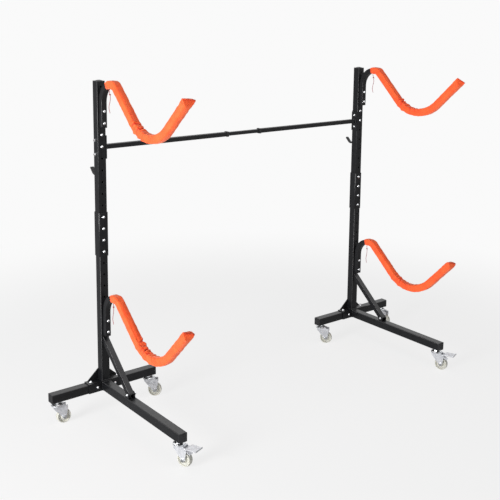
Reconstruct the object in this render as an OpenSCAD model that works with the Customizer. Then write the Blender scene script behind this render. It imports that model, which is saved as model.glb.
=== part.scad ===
// Freestanding kayak rack: two wheeled stands, each with two padded cradle arms, joined by a telescoping crossbar.
// Axes: X runs along the crossbar, the arms reach out towards -Y, Z is up.
// The origin is on the floor, under the middle of the whole rack.

/* [Stand frame] */
// Height of a stand from the underside of its base tubes to the top of its post
frame_height = 1346; // [1290:1:1600]
// Clear distance between the inner faces of the two posts
post_gap = 1476; // [1300:1:1880]
// Outside size of the square post, leg and crosspiece tubes
frame_tube = 38; // [36:1:42]
// Wall of the post, leg and crosspiece tubes
frame_wall = 1.8; // [1.2:0.1:2.6]
// Outside corner radius of the post, leg and crosspiece tubes
frame_corner = 3; // [2:0.5:4]
// Length of a crosspiece over its end plugs
crosspiece_length = 508; // [450:1:600]
// Length of a stand from the back of the post to the front end of the leg
leg_length = 635; // [560:1:720]

/* [Post holes] */
// Distance between neighbouring holes in a post
hole_pitch = 50; // [46:1:54]
// Distance from the top of the post to its first hole
first_hole_drop = 28; // [20:1:40]
// Height above the floor below which the posts have no more holes
lowest_hole = 300; // [260:1:340]
// Diameter of every bolt hole
hole_d = 8.5; // [8.3:0.1:9]

/* [Bolts] */
// Diameter of the bolt shanks
bolt_d = 8; // [7:0.5:8]
// Diameter of the domed bolt heads
head_d = 13; // [11:0.5:16]
// Height of the domed bolt heads
head_height = 5; // [3:0.5:6]
// Width of the hexagon nuts across their flats
nut_width = 13; // [12:0.5:14]
// Height of the hexagon nuts
nut_height = 6.5; // [5:0.5:8]
// Length of a bolt end that stands out of its nut
bolt_end = 3; // [1:0.5:5]

/* [Foot of the post] */
// Thickness of the foot plate, the leg flange, the gussets and the crossbar brackets
plate_thickness = 4; // [3:0.5:6]
// Length of the foot plate and of the leg flange
foot_length = 170; // [150:2:190]
// Distance from the post's axis to each foot bolt
foot_bolt_offset = 64; // [58:1:70]
// Distance from the post's axis to each leg flange bolt
flange_bolt_offset = 42; // [38:1:45]
// Height of a gusset above the foot plate
gusset_height = 47; // [30:1:60]
// Reach of a gusset from the side of the post
gusset_reach = 52; // [40:1:60]

/* [Post splice] */
// Height above the floor near which the two halves of a post meet
splice_height = 790; // [700:1:900]
// Length of the sleeve over the joint
sleeve_length = 190; // [180:1:230]
// Wall of the sleeve
sleeve_wall = 2.8; // [2:0.1:4]
// Clearance between the sleeve and the post on each side
sleeve_fit = 0.2; // [0.1:0.05:0.4]

/* [Arms] */
// Outside size of the square arm and brace tubes
arm_tube = 25; // [22:1:28]
// Wall of the arm and brace tubes
arm_wall = 1.5; // [1:0.1:2.2]
// Outside corner radius of the arm and brace tubes
arm_corner = 2; // [1.5:0.5:3]
// Number of post holes above the upper arm's first bolt
upper_arm_hole = 2; // [1:1:4]
// Height above the floor near which the lower arm's upper bolt sits
lower_arm_height = 418; // [400:1:520]
// Length of an arm's leg below its lower bolt
arm_below_bolt = 18; // [14:1:24]
// Length of an arm's leg above its upper bolt, up to the neck bend
arm_above_bolt = 36; // [24:1:60]
// Centreline radius of the neck bend over the leg
neck_radius = 80; // [70:1:100]
// Straight between the neck bend and the shoulder bend
shoulder_length = 14; // [4:1:40]
// Centreline radius of the shoulder bend
shoulder_radius = 35; // [34:1:50]
// Slope of the descending side of the cradle, in degrees
fall_angle = 44; // [36:1:50]
// Straight length of the descending side
fall_length = 180; // [150:1:210]
// Centreline radius of the cradle's bottom
cradle_radius = 178; // [150:1:210]
// Slope of the rising side of the cradle, in degrees
rise_angle = 43; // [36:1:50]
// Straight length of the rising side
rise_length = 164; // [140:1:200]
// Degrees by which the lower arm stands steeper than the upper one
lower_lift = 3; // [0:0.5:5]

/* [Pads] */
// Outside size of a padded sleeve
pad_size = 34; // [32:1:38]
// Corner radius of a padded sleeve
pad_corner = 9; // [7:1:10]
// Clearance between a sleeve and its arm on each side
pad_fit = 0.3; // [0.2:0.1:0.5]
// Degrees of the neck bend that stay bare below the sleeve
bare_neck = 62; // [54:1:68]
// Outside size of the gathered hem
hem_size = 30; // [29:1:31]
// Length of the flat sewn tip past the end of the arm
tip_length = 20; // [14:1:26]
// Width of the flat sewn tip
tip_width = 50; // [46:1:56]
// Thickness of the flat sewn tip
tip_thickness = 8; // [6:1:20]
// Diameter of the drawcords
cord_d = 2.4; // [2:0.1:3]
// Diameter of the knot in a drawcord
knot_d = 7; // [5:0.5:9]

/* [Brace] */
// Distance from the post's axis to the brace's pivot on the leg
brace_reach = 225; // [190:1:260]
// Distance from the foot of the lower arm down to the brace's top joint
brace_drop = 24; // [22:1:34]
// Thickness of the tab that carries the brace behind the lower arm
tab_thickness = 3; // [2:0.5:4]
// Thickness of the two ears on the leg
ear_thickness = 3; // [2:0.5:3]
// Clearance between the brace and each ear
ear_fit = 0.5; // [0.3:0.1:0.8]

/* [Paddle hook] */
// Width of the hook's strip
hook_width = 18; // [16:1:24]
// Thickness of the hook's strip with its coating
hook_thickness = 7; // [5:0.5:9]
// Number of post holes above the hook's first bolt
hook_hole = 4; // [3:1:5]
// Length of the strip above its upper bolt
hook_above_bolt = 18; // [12:1:24]
// Length of the strip below its lower bolt, down to the bend
hook_below_bolt = 106; // [80:1:130]
// Centreline radius of the hook's bend
hook_radius = 18; // [16:1:26]
// Degrees that the hook bends through
hook_turn = 135; // [120:1:150]
// Straight length of the hook's tip
hook_tip = 26; // [20:1:36]

/* [Crossbar] */
// Height above the floor of the crossbar's axis
bar_height = 1165; // [1150:1:1250]
// Outside size of the outer crossbar tubes
bar_outer = 20; // [20:1:22]
// Wall of the outer crossbar tubes
bar_wall = 1.5; // [1.2:0.1:1.7]
// Clearance between the inner and outer crossbar tubes on each side
bar_fit = 0.3; // [0.2:0.05:0.5]
// Wall of the inner crossbar tube
bar_inner_wall = 1.5; // [1:0.1:2]
// Length of an outer crossbar tube with its bracket
bar_outer_length = 647; // [560:1:648]
// Length of the inner crossbar tube
bar_inner_length = 900; // [760:1:1000]
// Height of the bracket plate on the post
bracket_height = 98; // [90:1:120]
// Distance from the crossbar's axis to each bracket bolt
bracket_bolt_offset = 29.5; // [27:0.5:36]
// Size of the square collar on an outer tube's end
collar_size = 24; // [24:1:28]
// Length of the collar
collar_length = 10; // [6:1:16]
// Distance from an outer tube's end to its lock screw
lock_inset = 43; // [30:1:80]

/* [Casters] */
// Height of a caster from the floor to the underside of the base tubes
caster_height = 100; // [100:1:120]
// Distance from the end of a base tube to its caster stem
stem_inset = 28; // [26:1:40]
// Diameter of a caster stem
stem_d = 10; // [8:0.5:12]
// Diameter of a caster wheel
wheel_d = 62; // [54:1:64]
// Width of a wheel's tread
wheel_width = 22; // [18:1:23]
// Distance that a wheel trails behind its stem
trail = 28.5; // [26:0.5:32]
// Diameter of a wheel's axle
axle_d = 10; // [8:0.5:10]
// Clear width inside a caster fork
fork_gap = 26; // [25.6:0.2:28]
// Thickness of the fork's cheeks
cheek_thickness = 2.5; // [2:0.1:3]
// Degrees that a brake pedal travels down
brake_travel = 12; // [8:1:14]

/* [Hidden] */
$fn = 48;

// Left and right stand, as signs along X
left = -1;
right = 1;

// Small clearances
fit = 0.05;
seat_gap = 0.3;
through = 2;

// Colours
coat = "#26272a";
zinc = "#c9ccd1";
fork_zinc = "#d3d4d2";
nylon = "#efe6cf";
orange = "#ff6a33";
plastic = "#1b1b1d";
cord_red = "#7d2334";

// Stand levels
half_tube = frame_tube / 2;
base_top = caster_height + frame_tube;
base_mid = caster_height + half_tube;
foot_top = base_top + plate_thickness;
post_top = caster_height + frame_height;
post_x = post_gap / 2 + half_tube;
leg_front = leg_length - half_tube;

// End plugs
plug_flange = 3;
plug_dome = 4;
plug_depth = 14;
plug_fit = 0.1;

// Holes in a post, counted from its top
top_hole = post_top - first_hole_drop;
hole_count = floor((top_hole - lowest_hole) / hole_pitch) + 1;
function hole_z(number) = top_hole - hole_pitch * number;
splice_hole = round((top_hole - splice_height) / hole_pitch - 0.5);
splice_z = hole_z(splice_hole + 0.5);
lower_arm_hole = round((top_hole - lower_arm_height) / hole_pitch);

// A bent piece lies in the plane (distance from the post's axis, height); a path is a start
// [distance, height, heading] and a list of segments [length, radius, turn], with radius 0 for a straight.
function segment_end(start, segment) =
    segment[1] == 0
    ? [start[0] + segment[0] * cos(start[2]), start[1] + segment[0] * sin(start[2]), start[2]]
    : let(r = sign(segment[2]) * segment[1], heading = start[2] + segment[2])
      [start[0] + r * (sin(heading) - sin(start[2])), start[1] - r * (cos(heading) - cos(start[2])), heading];
function path_point(start, segments, count) =
    count == 0 ? start : segment_end(path_point(start, segments, count - 1), segments[count - 1]);

// Places along a path where a swept skin has a ring: both ends of each straight, and every few degrees of a bend,
// close enough for the skin to stay within this distance of the true bend
bend_sag = 0.25;
function bend_rings(segment) =
    segment[1] == 0 ? 1 : ceil(abs(segment[2]) / (2 * acos(1 - bend_sag / segment[1])));
function stations(start, segments) = [
    for (i = [0:len(segments) - 1])
        let(place = path_point(start, segments, i), segment = segments[i], count = bend_rings(segment))
        for (k = [0:count - 1])
            k == 0 ? place : segment_end(place, [0, segment[1], segment[2] * k / count]),
    path_point(start, segments, len(segments))
];

// Ring of a rounded rectangle set square to a path, with a few points to each corner
function ring(place, thickness, width, corner, per_corner) = [
    for (q = [0:3], k = [0:per_corner - 1])
        let(
            turn = q * 90 + k * 90 / (per_corner - 1),
            side_n = (q == 0 || q == 3 ? 1 : -1) * (thickness / 2 - corner),
            side_w = (q < 2 ? 1 : -1) * (width / 2 - corner),
            n = side_n + corner * cos(turn),
            w = side_w + corner * sin(turn)
        )
        [place[0] - n * sin(place[2]), place[1] + n * cos(place[2]), w]
];

// Arms: leg, bare part of the neck, then the part under the sleeve
arm_leg_length = arm_below_bolt + hole_pitch + arm_above_bolt;
function arm_start(bolt_z, seat) =
    [half_tube + seat + arm_tube / 2, bolt_z - hole_pitch - arm_below_bolt, 90];
arm_bare = [[arm_leg_length, 0, 0], [0, neck_radius, -bare_neck]];
function covered(lift) = [
    [0, neck_radius, -(90 - lift - bare_neck)],
    [shoulder_length, 0, 0],
    [0, shoulder_radius, -fall_angle],
    [fall_length, 0, 0],
    [0, cradle_radius, fall_angle + rise_angle],
    [rise_length, 0, 0]
];

// Sleeves follow the covered part of their arm, from the hem to the tip
tip_gap = 1;
cavity = arm_tube + 2 * pad_fit;
function pad_start(bolt_z, seat) = path_point(arm_start(bolt_z, seat), arm_bare, 2);
sleeve_corner_points = 3;
// Size of a sleeve at its first rings: a gathered hem that swells to the full size
function sleeve_size_at(i) = i < 2 ? hem_size : i == 2 ? (hem_size + 2 * pad_size) / 3 : pad_size;
// The corners are rounder where the padding is thicker
function sleeve_corner_at(size) = pad_corner * (size - arm_tube) / (pad_size - arm_tube);
function mix(full, flat, share) = full + (flat - full) * share;
// Ring of the tip, a share of the way from the end of the arm to the sewn edge
function tip_ring(end, share) =
    let(flat = pow(share, 1.5), thickness = mix(pad_size, tip_thickness, flat))
    ring(segment_end(end, [tip_gap + tip_length * share, 0, 0]), thickness, mix(pad_size, tip_width, flat),
        thickness * pad_corner / pad_size, sleeve_corner_points);
function sleeve_rings(places) = concat(
    [for (i = [0:len(places) - 1])
        let(size = sleeve_size_at(i)) ring(places[i], size, size, sleeve_corner_at(size), sleeve_corner_points)],
    [for (share = [0, 0.5, 1]) tip_ring(places[len(places) - 1], share)]
);
function cavity_rings(places) = [
    for (place = concat(places, [segment_end(places[len(places) - 1], [tip_gap, 0, 0])]))
        ring(place, cavity, cavity, 1, sleeve_corner_points)
];

// Arm places on a stand
upper_arm_z = hole_z(upper_arm_hole);
lower_arm_z = hole_z(lower_arm_hole);

// Brace from its pivot on the leg to the tab behind the lower arm
brace_pivot = [brace_reach, base_top + arm_tube / 2 + seat_gap];
tab_front = half_tube + tab_thickness;
brace_joint = [tab_front, lower_arm_z - hole_pitch - arm_below_bolt - brace_drop];
brace_run = brace_joint - brace_pivot;
brace_angle = atan2(brace_run[1], brace_run[0]);

// Hook
hook_start = [-(half_tube + hook_thickness / 2), hole_z(hook_hole) + hook_above_bolt, -90];
hook_path = [
    [hook_above_bolt + hole_pitch + hook_below_bolt, 0, 0],
    [0, hook_radius, -hook_turn],
    [hook_tip, 0, 0]
];
hook_corner_points = 3;
// The hook's strip from its top to its tip, which is rounded off by two smaller rings
hook_end = path_point(hook_start, hook_path, 3);
hook_rings = concat(
    [for (place = stations(hook_start, hook_path))
        ring(place, hook_thickness, hook_width, hook_thickness * 0.25, hook_corner_points)],
    [for (part = [[0.3, 0.8], [0.45, 0.4]])
        ring(segment_end(hook_end, [hook_thickness * part[0], 0, 0]), hook_thickness * part[1],
            hook_width - hook_thickness * (1 - part[1]), hook_thickness * 0.15, hook_corner_points)]
);

// Crossbar
bar_inner = bar_outer - 2 * bar_wall - 2 * bar_fit;
bar_end = post_gap / 2 - bar_outer_length;
lock_head_d = 16;
lock_head_height = 8;

// Caster levels and sizes
caster_body = 92;
race_d = 48;
race_height = 6;
jam_nut_height = caster_height - caster_body;
race_bottom = caster_height - jam_nut_height - race_height;
fork_top = race_bottom - seat_gap;
fork_plate = 4;
fork_bottom = fork_top - fork_plate;
kingpin_d = 12;
kingpin_head_d = 20;
kingpin_head = 4;
axle_z = wheel_d / 2;
fork_width = fork_gap + 2 * cheek_thickness;
cheek_front = 44;
pedal_pivot = [36, fork_bottom - 7.7];
pedal_pin_d = 5;
pedal_width = 46;
pedal_end = 95;

// Direction in which each caster's wheel trails, in degrees from +X
front_trail = -70;
left_outer_trail = -8;
left_inner_trail = -35;
right_inner_trail = -50;
right_outer_trail = -75;

// The stands are placed so that the origin is under the middle of the rack: the sleeves or the brake pedals reach
// furthest forward, the hooks furthest back
function reach(rings) = [for (points = rings, point = points) point[0]];
pedal_reach = leg_front - stem_inset + pedal_end * sin(-front_trail) + pedal_width / 2 * cos(front_trail);
front_reach = max(concat(
    [pedal_reach],
    reach(sleeve_rings(stations(pad_start(upper_arm_z, 0), covered(0)))),
    reach(sleeve_rings(stations(pad_start(lower_arm_z, tab_thickness), covered(lower_lift))))
));
back_reach = -min(reach(hook_rings));
post_y = (front_reach - back_reach) / 2;

// ---------- shared shapes ----------

module rounded_rectangle(width, height, corner) {
    square([width, height - 2 * corner], center = true);
    square([width - 2 * corner, height], center = true);
    for (x = [-1, 1], y = [-1, 1])
        translate([x * (width / 2 - corner), y * (height / 2 - corner)])
            circle(r = corner);
}

module tube_profile(size, wall, corner) {
    difference() {
        rounded_rectangle(size, size, corner);
        if (corner - wall > 0.1)
            rounded_rectangle(size - 2 * wall, size - 2 * wall, corner - wall);
        else
            square(size - 2 * wall, center = true);
    }
}

// Turns the plane (distance from the post's axis, height) upright, facing forward from the post
module upright() {
    rotate([90, 0, -90]) children();
}

module at_stand(side) {
    translate([side * post_x, post_y, 0]) children();
}

// A hole along the depth of the stand, through everything between two distances from the post's axis
module depth_hole(x, z, front, back) {
    translate([x, -front - through, z]) rotate([-90, 0, 0])
        cylinder(d = hole_d, h = front + back + 2 * through);
}

// Domed bolt with its head at the origin, pointing along Z, and a nut at the far side of the grip
module bolt(grip) {
    dome = (pow(head_d / 2, 2) + pow(head_height, 2)) / (2 * head_height);
    color(zinc) {
        intersection() {
            translate([0, 0, dome - head_height]) sphere(r = dome);
            translate([0, 0, -head_height]) cylinder(d = head_d + through, h = head_height);
        }
        cylinder(d = bolt_d, h = grip + nut_height + bolt_end);
    }
    color(zinc) translate([0, 0, grip]) nut(bolt_d);
}

module nut(bore_d) {
    difference() {
        cylinder(d = nut_width / cos(30) + bore_d - bolt_d, h = nut_height, $fn = 6);
        translate([0, 0, -through]) cylinder(d = bore_d + 2 * fit, h = nut_height + 2 * through);
    }
}

// ---------- base and post ----------

module crosspiece(side) {
    color(coat) at_stand(side) difference() {
        translate([-crosspiece_length / 2 + plug_flange, 0, base_mid]) rotate([90, 0, 90])
            linear_extrude(crosspiece_length - 2 * plug_flange)
                tube_profile(frame_tube, frame_wall, frame_corner);
        for (x = [-1, 1]) {
            translate([x * (crosspiece_length / 2 - stem_inset), 0, caster_height - through])
                cylinder(d = stem_d + 0.5, h = half_tube);
            depth_hole(x * flange_bolt_offset, base_mid, half_tube, half_tube);
            translate([x * foot_bolt_offset, 0, caster_height - through])
                cylinder(d = hole_d, h = frame_tube + 2 * through);
        }
    }
}

module leg(side) {
    flange_y = half_tube + plate_thickness;
    color(coat) at_stand(side) difference() {
        union() {
            translate([-foot_length / 2, -flange_y, caster_height])
                cube([foot_length, plate_thickness, frame_tube + plate_thickness]);
            translate([0, -flange_y, base_mid]) rotate([90, 0, 0])
                linear_extrude(leg_front - plug_flange - flange_y)
                    tube_profile(frame_tube, frame_wall, frame_corner);
            for (x = [-1, 1]) translate([x * (arm_tube / 2 + ear_fit + ear_thickness / 2), 0, 0]) brace_ear();
        }
        for (x = [-1, 1]) depth_hole(x * flange_bolt_offset, base_mid, flange_y, -half_tube);
        translate([0, -(leg_front - stem_inset), caster_height - through])
            cylinder(d = stem_d + 0.5, h = half_tube);
    }
}

// One ear of the bracket that holds the brace's foot
module brace_ear() {
    upright() linear_extrude(ear_thickness, center = true) difference() {
        union() {
            translate(brace_pivot) circle(d = arm_tube);
            translate([brace_reach - arm_tube / 2, base_top])
                square([arm_tube, brace_pivot[1] - base_top]);
        }
        translate(brace_pivot) circle(d = hole_d);
    }
}

module lower_post(side) {
    color(coat) at_stand(side) difference() {
        union() {
            translate([0, 0, foot_top]) linear_extrude(splice_z - foot_top)
                tube_profile(frame_tube, frame_wall, frame_corner);
            translate([-foot_length / 2, -half_tube, base_top])
                cube([foot_length, frame_tube, plate_thickness]);
            for (x = [0, 1]) mirror([x, 0, 0]) gusset();
        }
        for (number = [splice_hole + 1:hole_count - 1])
            depth_hole(0, hole_z(number), half_tube, half_tube);
        for (x = [-1, 1]) translate([x * foot_bolt_offset, 0, base_top - through])
            cylinder(d = hole_d, h = plate_thickness + 2 * through);
    }
}

// Triangle welded into the corner between the post and the foot plate
module gusset() {
    root = half_tube - frame_wall * 0.8;
    translate([0, half_tube, 0]) rotate([90, 0, 0]) linear_extrude(plate_thickness)
        polygon([
            [root, foot_top], [half_tube + gusset_reach, foot_top],
            [half_tube, foot_top + gusset_height], [root, foot_top + gusset_height]
        ]);
}

module upper_post(side) {
    color(coat) at_stand(side) difference() {
        translate([0, 0, splice_z]) linear_extrude(post_top - plug_flange - plug_dome - splice_z)
            tube_profile(frame_tube, frame_wall, frame_corner);
        for (number = [0:splice_hole]) depth_hole(0, hole_z(number), half_tube, half_tube);
        for (z = [-1, 1]) translate([0, 0, bar_height + z * bracket_bolt_offset]) rotate([0, 90, 0])
            cylinder(d = hole_d, h = frame_tube + 2 * through, center = true);
    }
}

sleeve_size = frame_tube + 2 * sleeve_fit + 2 * sleeve_wall;

module splice_sleeve(side) {
    color(coat) at_stand(side) difference() {
        translate([0, 0, splice_z - sleeve_length / 2]) linear_extrude(sleeve_length)
            tube_profile(sleeve_size, sleeve_wall, frame_corner + sleeve_wall);
        for (number = [-1:2])
            depth_hole(0, hole_z(splice_hole + number), sleeve_size / 2, sleeve_size / 2);
    }
}

// Plug that stands in the end of a tube, with its face pointing along Z
module end_plug(dome) {
    inside = frame_tube - 2 * frame_wall - 2 * plug_fit;
    translate([0, 0, -plug_depth]) linear_extrude(plug_depth)
        difference() {
            square(inside, center = true);
            square(inside - 5, center = true);
        }
    linear_extrude(plug_flange) rounded_rectangle(frame_tube, frame_tube, frame_corner);
    if (dome > 0) {
        ball = (pow(half_tube - 1, 2) + pow(dome, 2)) / (2 * dome);
        intersection() {
            translate([0, 0, plug_flange + dome - ball]) sphere(r = ball);
            translate([0, 0, plug_flange]) cylinder(r = half_tube, h = dome + through);
        }
    }
}

module end_plugs(side) {
    color(plastic) at_stand(side) {
        translate([0, 0, post_top - plug_flange - plug_dome]) end_plug(plug_dome);
        for (x = [-1, 1]) translate([x * (crosspiece_length / 2 - plug_flange), 0, base_mid])
            rotate([0, x * 90, 0]) end_plug(0);
        translate([0, -(leg_front - plug_flange), base_mid]) rotate([90, 0, 0]) end_plug(0);
    }
}

// ---------- brace ----------

module brace(side) {
    length = norm(brace_run) + arm_tube;
    color(coat) at_stand(side) upright() {
        difference() {
            translate(brace_pivot) rotate(brace_angle) intersection() {
                translate([-arm_tube, 0, 0]) rotate([90, 0, 90]) linear_extrude(length + arm_tube)
                    tube_profile(arm_tube, arm_wall, arm_corner);
                linear_extrude(arm_tube + through, center = true) {
                    circle(d = arm_tube);
                    translate([0, -arm_tube / 2]) square([length, arm_tube]);
                }
            }
            translate(brace_pivot) cylinder(d = hole_d, h = arm_tube + through, center = true);
            translate([tab_front - 2 * arm_tube, brace_joint[1] - 2 * arm_tube, -arm_tube])
                cube([2 * arm_tube, 4 * arm_tube, 2 * arm_tube]);
        }
        brace_tab();
    }
}

// Flat tab that runs up the post from the brace, behind the lower arm
module brace_tab() {
    bottom = brace_joint[1] - arm_tube;
    top = lower_arm_z + arm_tube;
    difference() {
        translate([half_tube, bottom, -arm_tube / 2]) cube([tab_thickness, top - bottom, arm_tube]);
        for (number = [0, 1]) translate([half_tube - through, hole_z(lower_arm_hole + number), 0])
            rotate([0, 90, 0]) cylinder(d = hole_d, h = tab_thickness + 2 * through);
    }
}

// ---------- arms, sleeves and cords ----------

// Triangles between neighbouring rings; each ring has count points and the first ring starts at point first
function skin(first, rings, count, outward) = [
    for (i = [0:rings - 2], k = [0:count - 1])
        let(
            a = first + i * count + k,
            b = first + i * count + (k + 1) % count,
            faces = [[a, a + count, b + count], [a, b + count, b]]
        )
        for (face = faces) outward ? face : [face[2], face[1], face[0]]
];
// Triangles between an outer and an inner ring of one end
function end_band(outer, inner, count, outward) = [
    for (k = [0:count - 1])
        let(next = (k + 1) % count, faces = [[outer + k, outer + next, inner + next], [outer + k, inner + next, inner + k]])
        for (face = faces) outward ? face : [face[2], face[1], face[0]]
];
// Triangles that close a ring
function end_cap(first, count, outward) = [
    for (k = [1:count - 2]) outward ? [first, first + k + 1, first + k] : [first, first + k, first + k + 1]
];

// Square tube with broken corners along a path, open at both ends
module bent_tube(start, segments) {
    corner_points = 2;
    count = 4 * corner_points;
    places = stations(start, segments);
    rings = len(places);
    inside = arm_tube - 2 * arm_wall;
    points = concat(
        [for (place = places) each ring(place, arm_tube, arm_tube, arm_corner * 0.6, corner_points)],
        [for (place = places) each ring(place, inside, inside, 0.5, corner_points)]
    );
    polyhedron(points, concat(
        skin(0, rings, count, true),
        skin(rings * count, rings, count, false),
        end_band(0, rings * count, count, true),
        end_band((rings - 1) * count, (2 * rings - 1) * count, count, false)
    ));
}

module arm(side, first_hole, seat, lift) {
    start = arm_start(hole_z(first_hole), seat);
    color(coat) at_stand(side) upright() difference() {
        bent_tube(start, concat(arm_bare, covered(lift)));
        for (number = [0, 1]) translate([half_tube, hole_z(first_hole + number), 0]) rotate([0, 90, 0])
            cylinder(d = hole_d, h = 2 * arm_tube);
    }
}

// Padded sleeve: open at the hem, pressed flat and sewn shut at the tip
module pad(side, first_hole, seat, lift) {
    count = 4 * sleeve_corner_points;
    places = stations(pad_start(hole_z(first_hole), seat), covered(lift));
    outside = sleeve_rings(places);
    inside = cavity_rings(places);
    cavity_start = len(outside) * count;
    color(orange) at_stand(side) upright() polyhedron(
        [for (points = concat(outside, inside)) each points],
        concat(
            skin(0, len(outside), count, true),
            skin(cavity_start, len(inside), count, false),
            end_band(0, cavity_start, count, true),
            end_cap(cavity_start - count, count, true),
            end_cap(cavity_start + (len(inside) - 1) * count, count, false)
        )
    );
}

// Drawcord route from the hem down, as distances from the hem: [forward, sideways, down]
cord_route = [
    [0, 0, 0], [2, 1, 6], [4, 2, 13], [5, 2, 19], [6, 3, 22], [7, 3, 25], [7, 3, 30], [8, 4, 38], [8, 5, 47],
    [7, 6, 56], [6, 7, 65], [5, 7, 74], [5, 6, 83], [6, 5, 91], [7, 5, 98]
];
// Ring of the route that lies in the middle of the knot
knot_ring = 4;
cord_sides = 8;

function cord_point(i) = [-cord_route[i][1], -cord_route[i][0], -cord_route[i][2]];
function cord_heading(i) =
    let(run = cord_point(min(i + 1, len(cord_route) - 1)) - cord_point(max(i - 1, 0)))
    run / norm(run);
function cord_ring(i) =
    let(
        along = cord_heading(i),
        across = cross(along, [1, 0, 0]) / norm(cross(along, [1, 0, 0])),
        other = cross(along, across),
        radius = abs(i - knot_ring) == 0 ? knot_d / 2 : abs(i - knot_ring) == 1 ? knot_d * 0.38 : cord_d / 2
    )
    [for (k = [0:cord_sides - 1])
        cord_point(i) + radius * (cos(k * 360 / cord_sides) * across + sin(k * 360 / cord_sides) * other)];

module cord(side, first_hole, seat) {
    hem = pad_start(hole_z(first_hole), seat);
    rings = len(cord_route);
    points = [for (i = [0:rings - 1]) each cord_ring(i)];
    drop = hem_size / 2 - 1;
    exit_lean = 5;
    turned = hem[2] - exit_lean;
    color(cord_red) at_stand(side)
        translate([0, -hem[0] - drop * sin(turned), hem[1] - drop * cos(turned)])
            polyhedron(points, concat(
                end_cap(0, cord_sides, false),
                skin(0, rings, cord_sides, true),
                end_cap((rings - 1) * cord_sides, cord_sides, true)
            ));
}

// ---------- hook ----------

module hook(side) {
    color(plastic) at_stand(side) upright() difference() {
        polyhedron([for (points = hook_rings) each points], concat(
            end_cap(0, 4 * hook_corner_points, false),
            skin(0, len(hook_rings), 4 * hook_corner_points, true),
            end_cap((len(hook_rings) - 1) * 4 * hook_corner_points, 4 * hook_corner_points, true)
        ));
        for (number = [0, 1]) translate([-half_tube - hook_thickness - through, hole_z(hook_hole + number), 0])
            rotate([0, 90, 0]) cylinder(d = hole_d, h = hook_thickness + 2 * through);
    }
}

// ---------- bolts ----------

// A bolt along the depth of the stand, its head at the front
module depth_bolt(x, z, front, back) {
    translate([x, -front, z]) rotate([-90, 0, 0]) bolt(front + back);
}

module bolts(side) {
    at_stand(side) {
        for (number = [0, 1]) {
            depth_bolt(0, hole_z(upper_arm_hole + number), half_tube + arm_tube, half_tube);
            depth_bolt(0, hole_z(lower_arm_hole + number), tab_front + arm_tube, half_tube);
            depth_bolt(0, hole_z(hook_hole + number), half_tube, half_tube + hook_thickness);
        }
        for (number = [-1:2])
            depth_bolt(0, hole_z(splice_hole + number), sleeve_size / 2, sleeve_size / 2);
        for (x = [-1, 1]) {
            depth_bolt(x * flange_bolt_offset, base_mid, half_tube + plate_thickness, half_tube);
            translate([x * foot_bolt_offset, 0, foot_top]) rotate([180, 0, 0])
                bolt(plate_thickness + frame_tube);
        }
        for (z = [-1, 1])
            translate([-side * (half_tube + plate_thickness), 0, bar_height + z * bracket_bolt_offset])
                rotate([0, side * 90, 0]) bolt(frame_tube + plate_thickness);
        ears = arm_tube + 2 * ear_fit + 2 * ear_thickness;
        translate([-ears / 2, -brace_pivot[0], brace_pivot[1]]) rotate([0, 90, 0]) bolt(ears);
    }
}

// ---------- crossbar ----------

// Places a lock screw on the crossbar with its axis pointing back
module at_lock(side) {
    translate([side * (bar_end + lock_inset), 0, 0]) rotate([-90, 0, 0]) children();
}

module bar_outer_tube(side) {
    face = post_gap / 2;
    color(coat) translate([0, post_y, bar_height]) difference() {
        union() {
            translate([side * (face - plate_thickness / 2), 0, 0])
                cube([plate_thickness, frame_tube, bracket_height], center = true);
            translate([side < 0 ? -(face - plate_thickness) : bar_end, 0, 0]) rotate([90, 0, 90])
                linear_extrude(bar_outer_length - plate_thickness)
                    tube_profile(bar_outer, bar_wall, bar_wall + 0.5);
            at_lock(side) translate([0, 0, bar_outer / 2]) nut(bolt_d);
        }
        at_lock(side) cylinder(d = bolt_d + 2 * fit, h = bar_outer);
        for (z = [-1, 1]) translate([side * face, 0, z * bracket_bolt_offset]) rotate([0, 90, 0])
            cylinder(d = hole_d, h = 2 * plate_thickness + through, center = true);
    }
}

module bar_inner_tube() {
    color(coat) translate([-bar_inner_length / 2, post_y, bar_height]) rotate([90, 0, 90])
        linear_extrude(bar_inner_length) tube_profile(bar_inner, bar_inner_wall, bar_inner_wall + 0.5);
}

module bar_collar(side) {
    start = side < 0 ? -bar_end - collar_length : bar_end;
    color(plastic) translate([start, post_y, bar_height]) rotate([90, 0, 90])
        linear_extrude(collar_length) difference() {
            rounded_rectangle(collar_size, collar_size, 2);
            square(bar_outer + 2 * fit, center = true);
        }
}

module bar_lock(side) {
    tip = bar_inner / 2 + seat_gap;
    seat = bar_outer / 2 + nut_height + seat_gap;
    color(zinc) translate([0, post_y, bar_height]) at_lock(side) {
        translate([0, 0, tip]) cylinder(d = bolt_d, h = seat - tip);
        translate([0, 0, seat]) cylinder(d = lock_head_d, h = lock_head_height, $fn = 6);
    }
}

// ---------- casters ----------

// Places a caster with its wheel trailing along its own X
module at_caster(side, position) {
    end = crosspiece_length / 2 - stem_inset;
    place = position == "front" ? [0, -(leg_front - stem_inset)]
        : position == "outer" ? [side * end, 0]
        : [-side * end, 0];
    heading = position == "front" ? front_trail
        : position == "outer" ? (side < 0 ? left_outer_trail : right_outer_trail)
        : (side < 0 ? left_inner_trail : right_inner_trail);
    at_stand(side) translate(place) rotate(heading) children();
}

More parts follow.
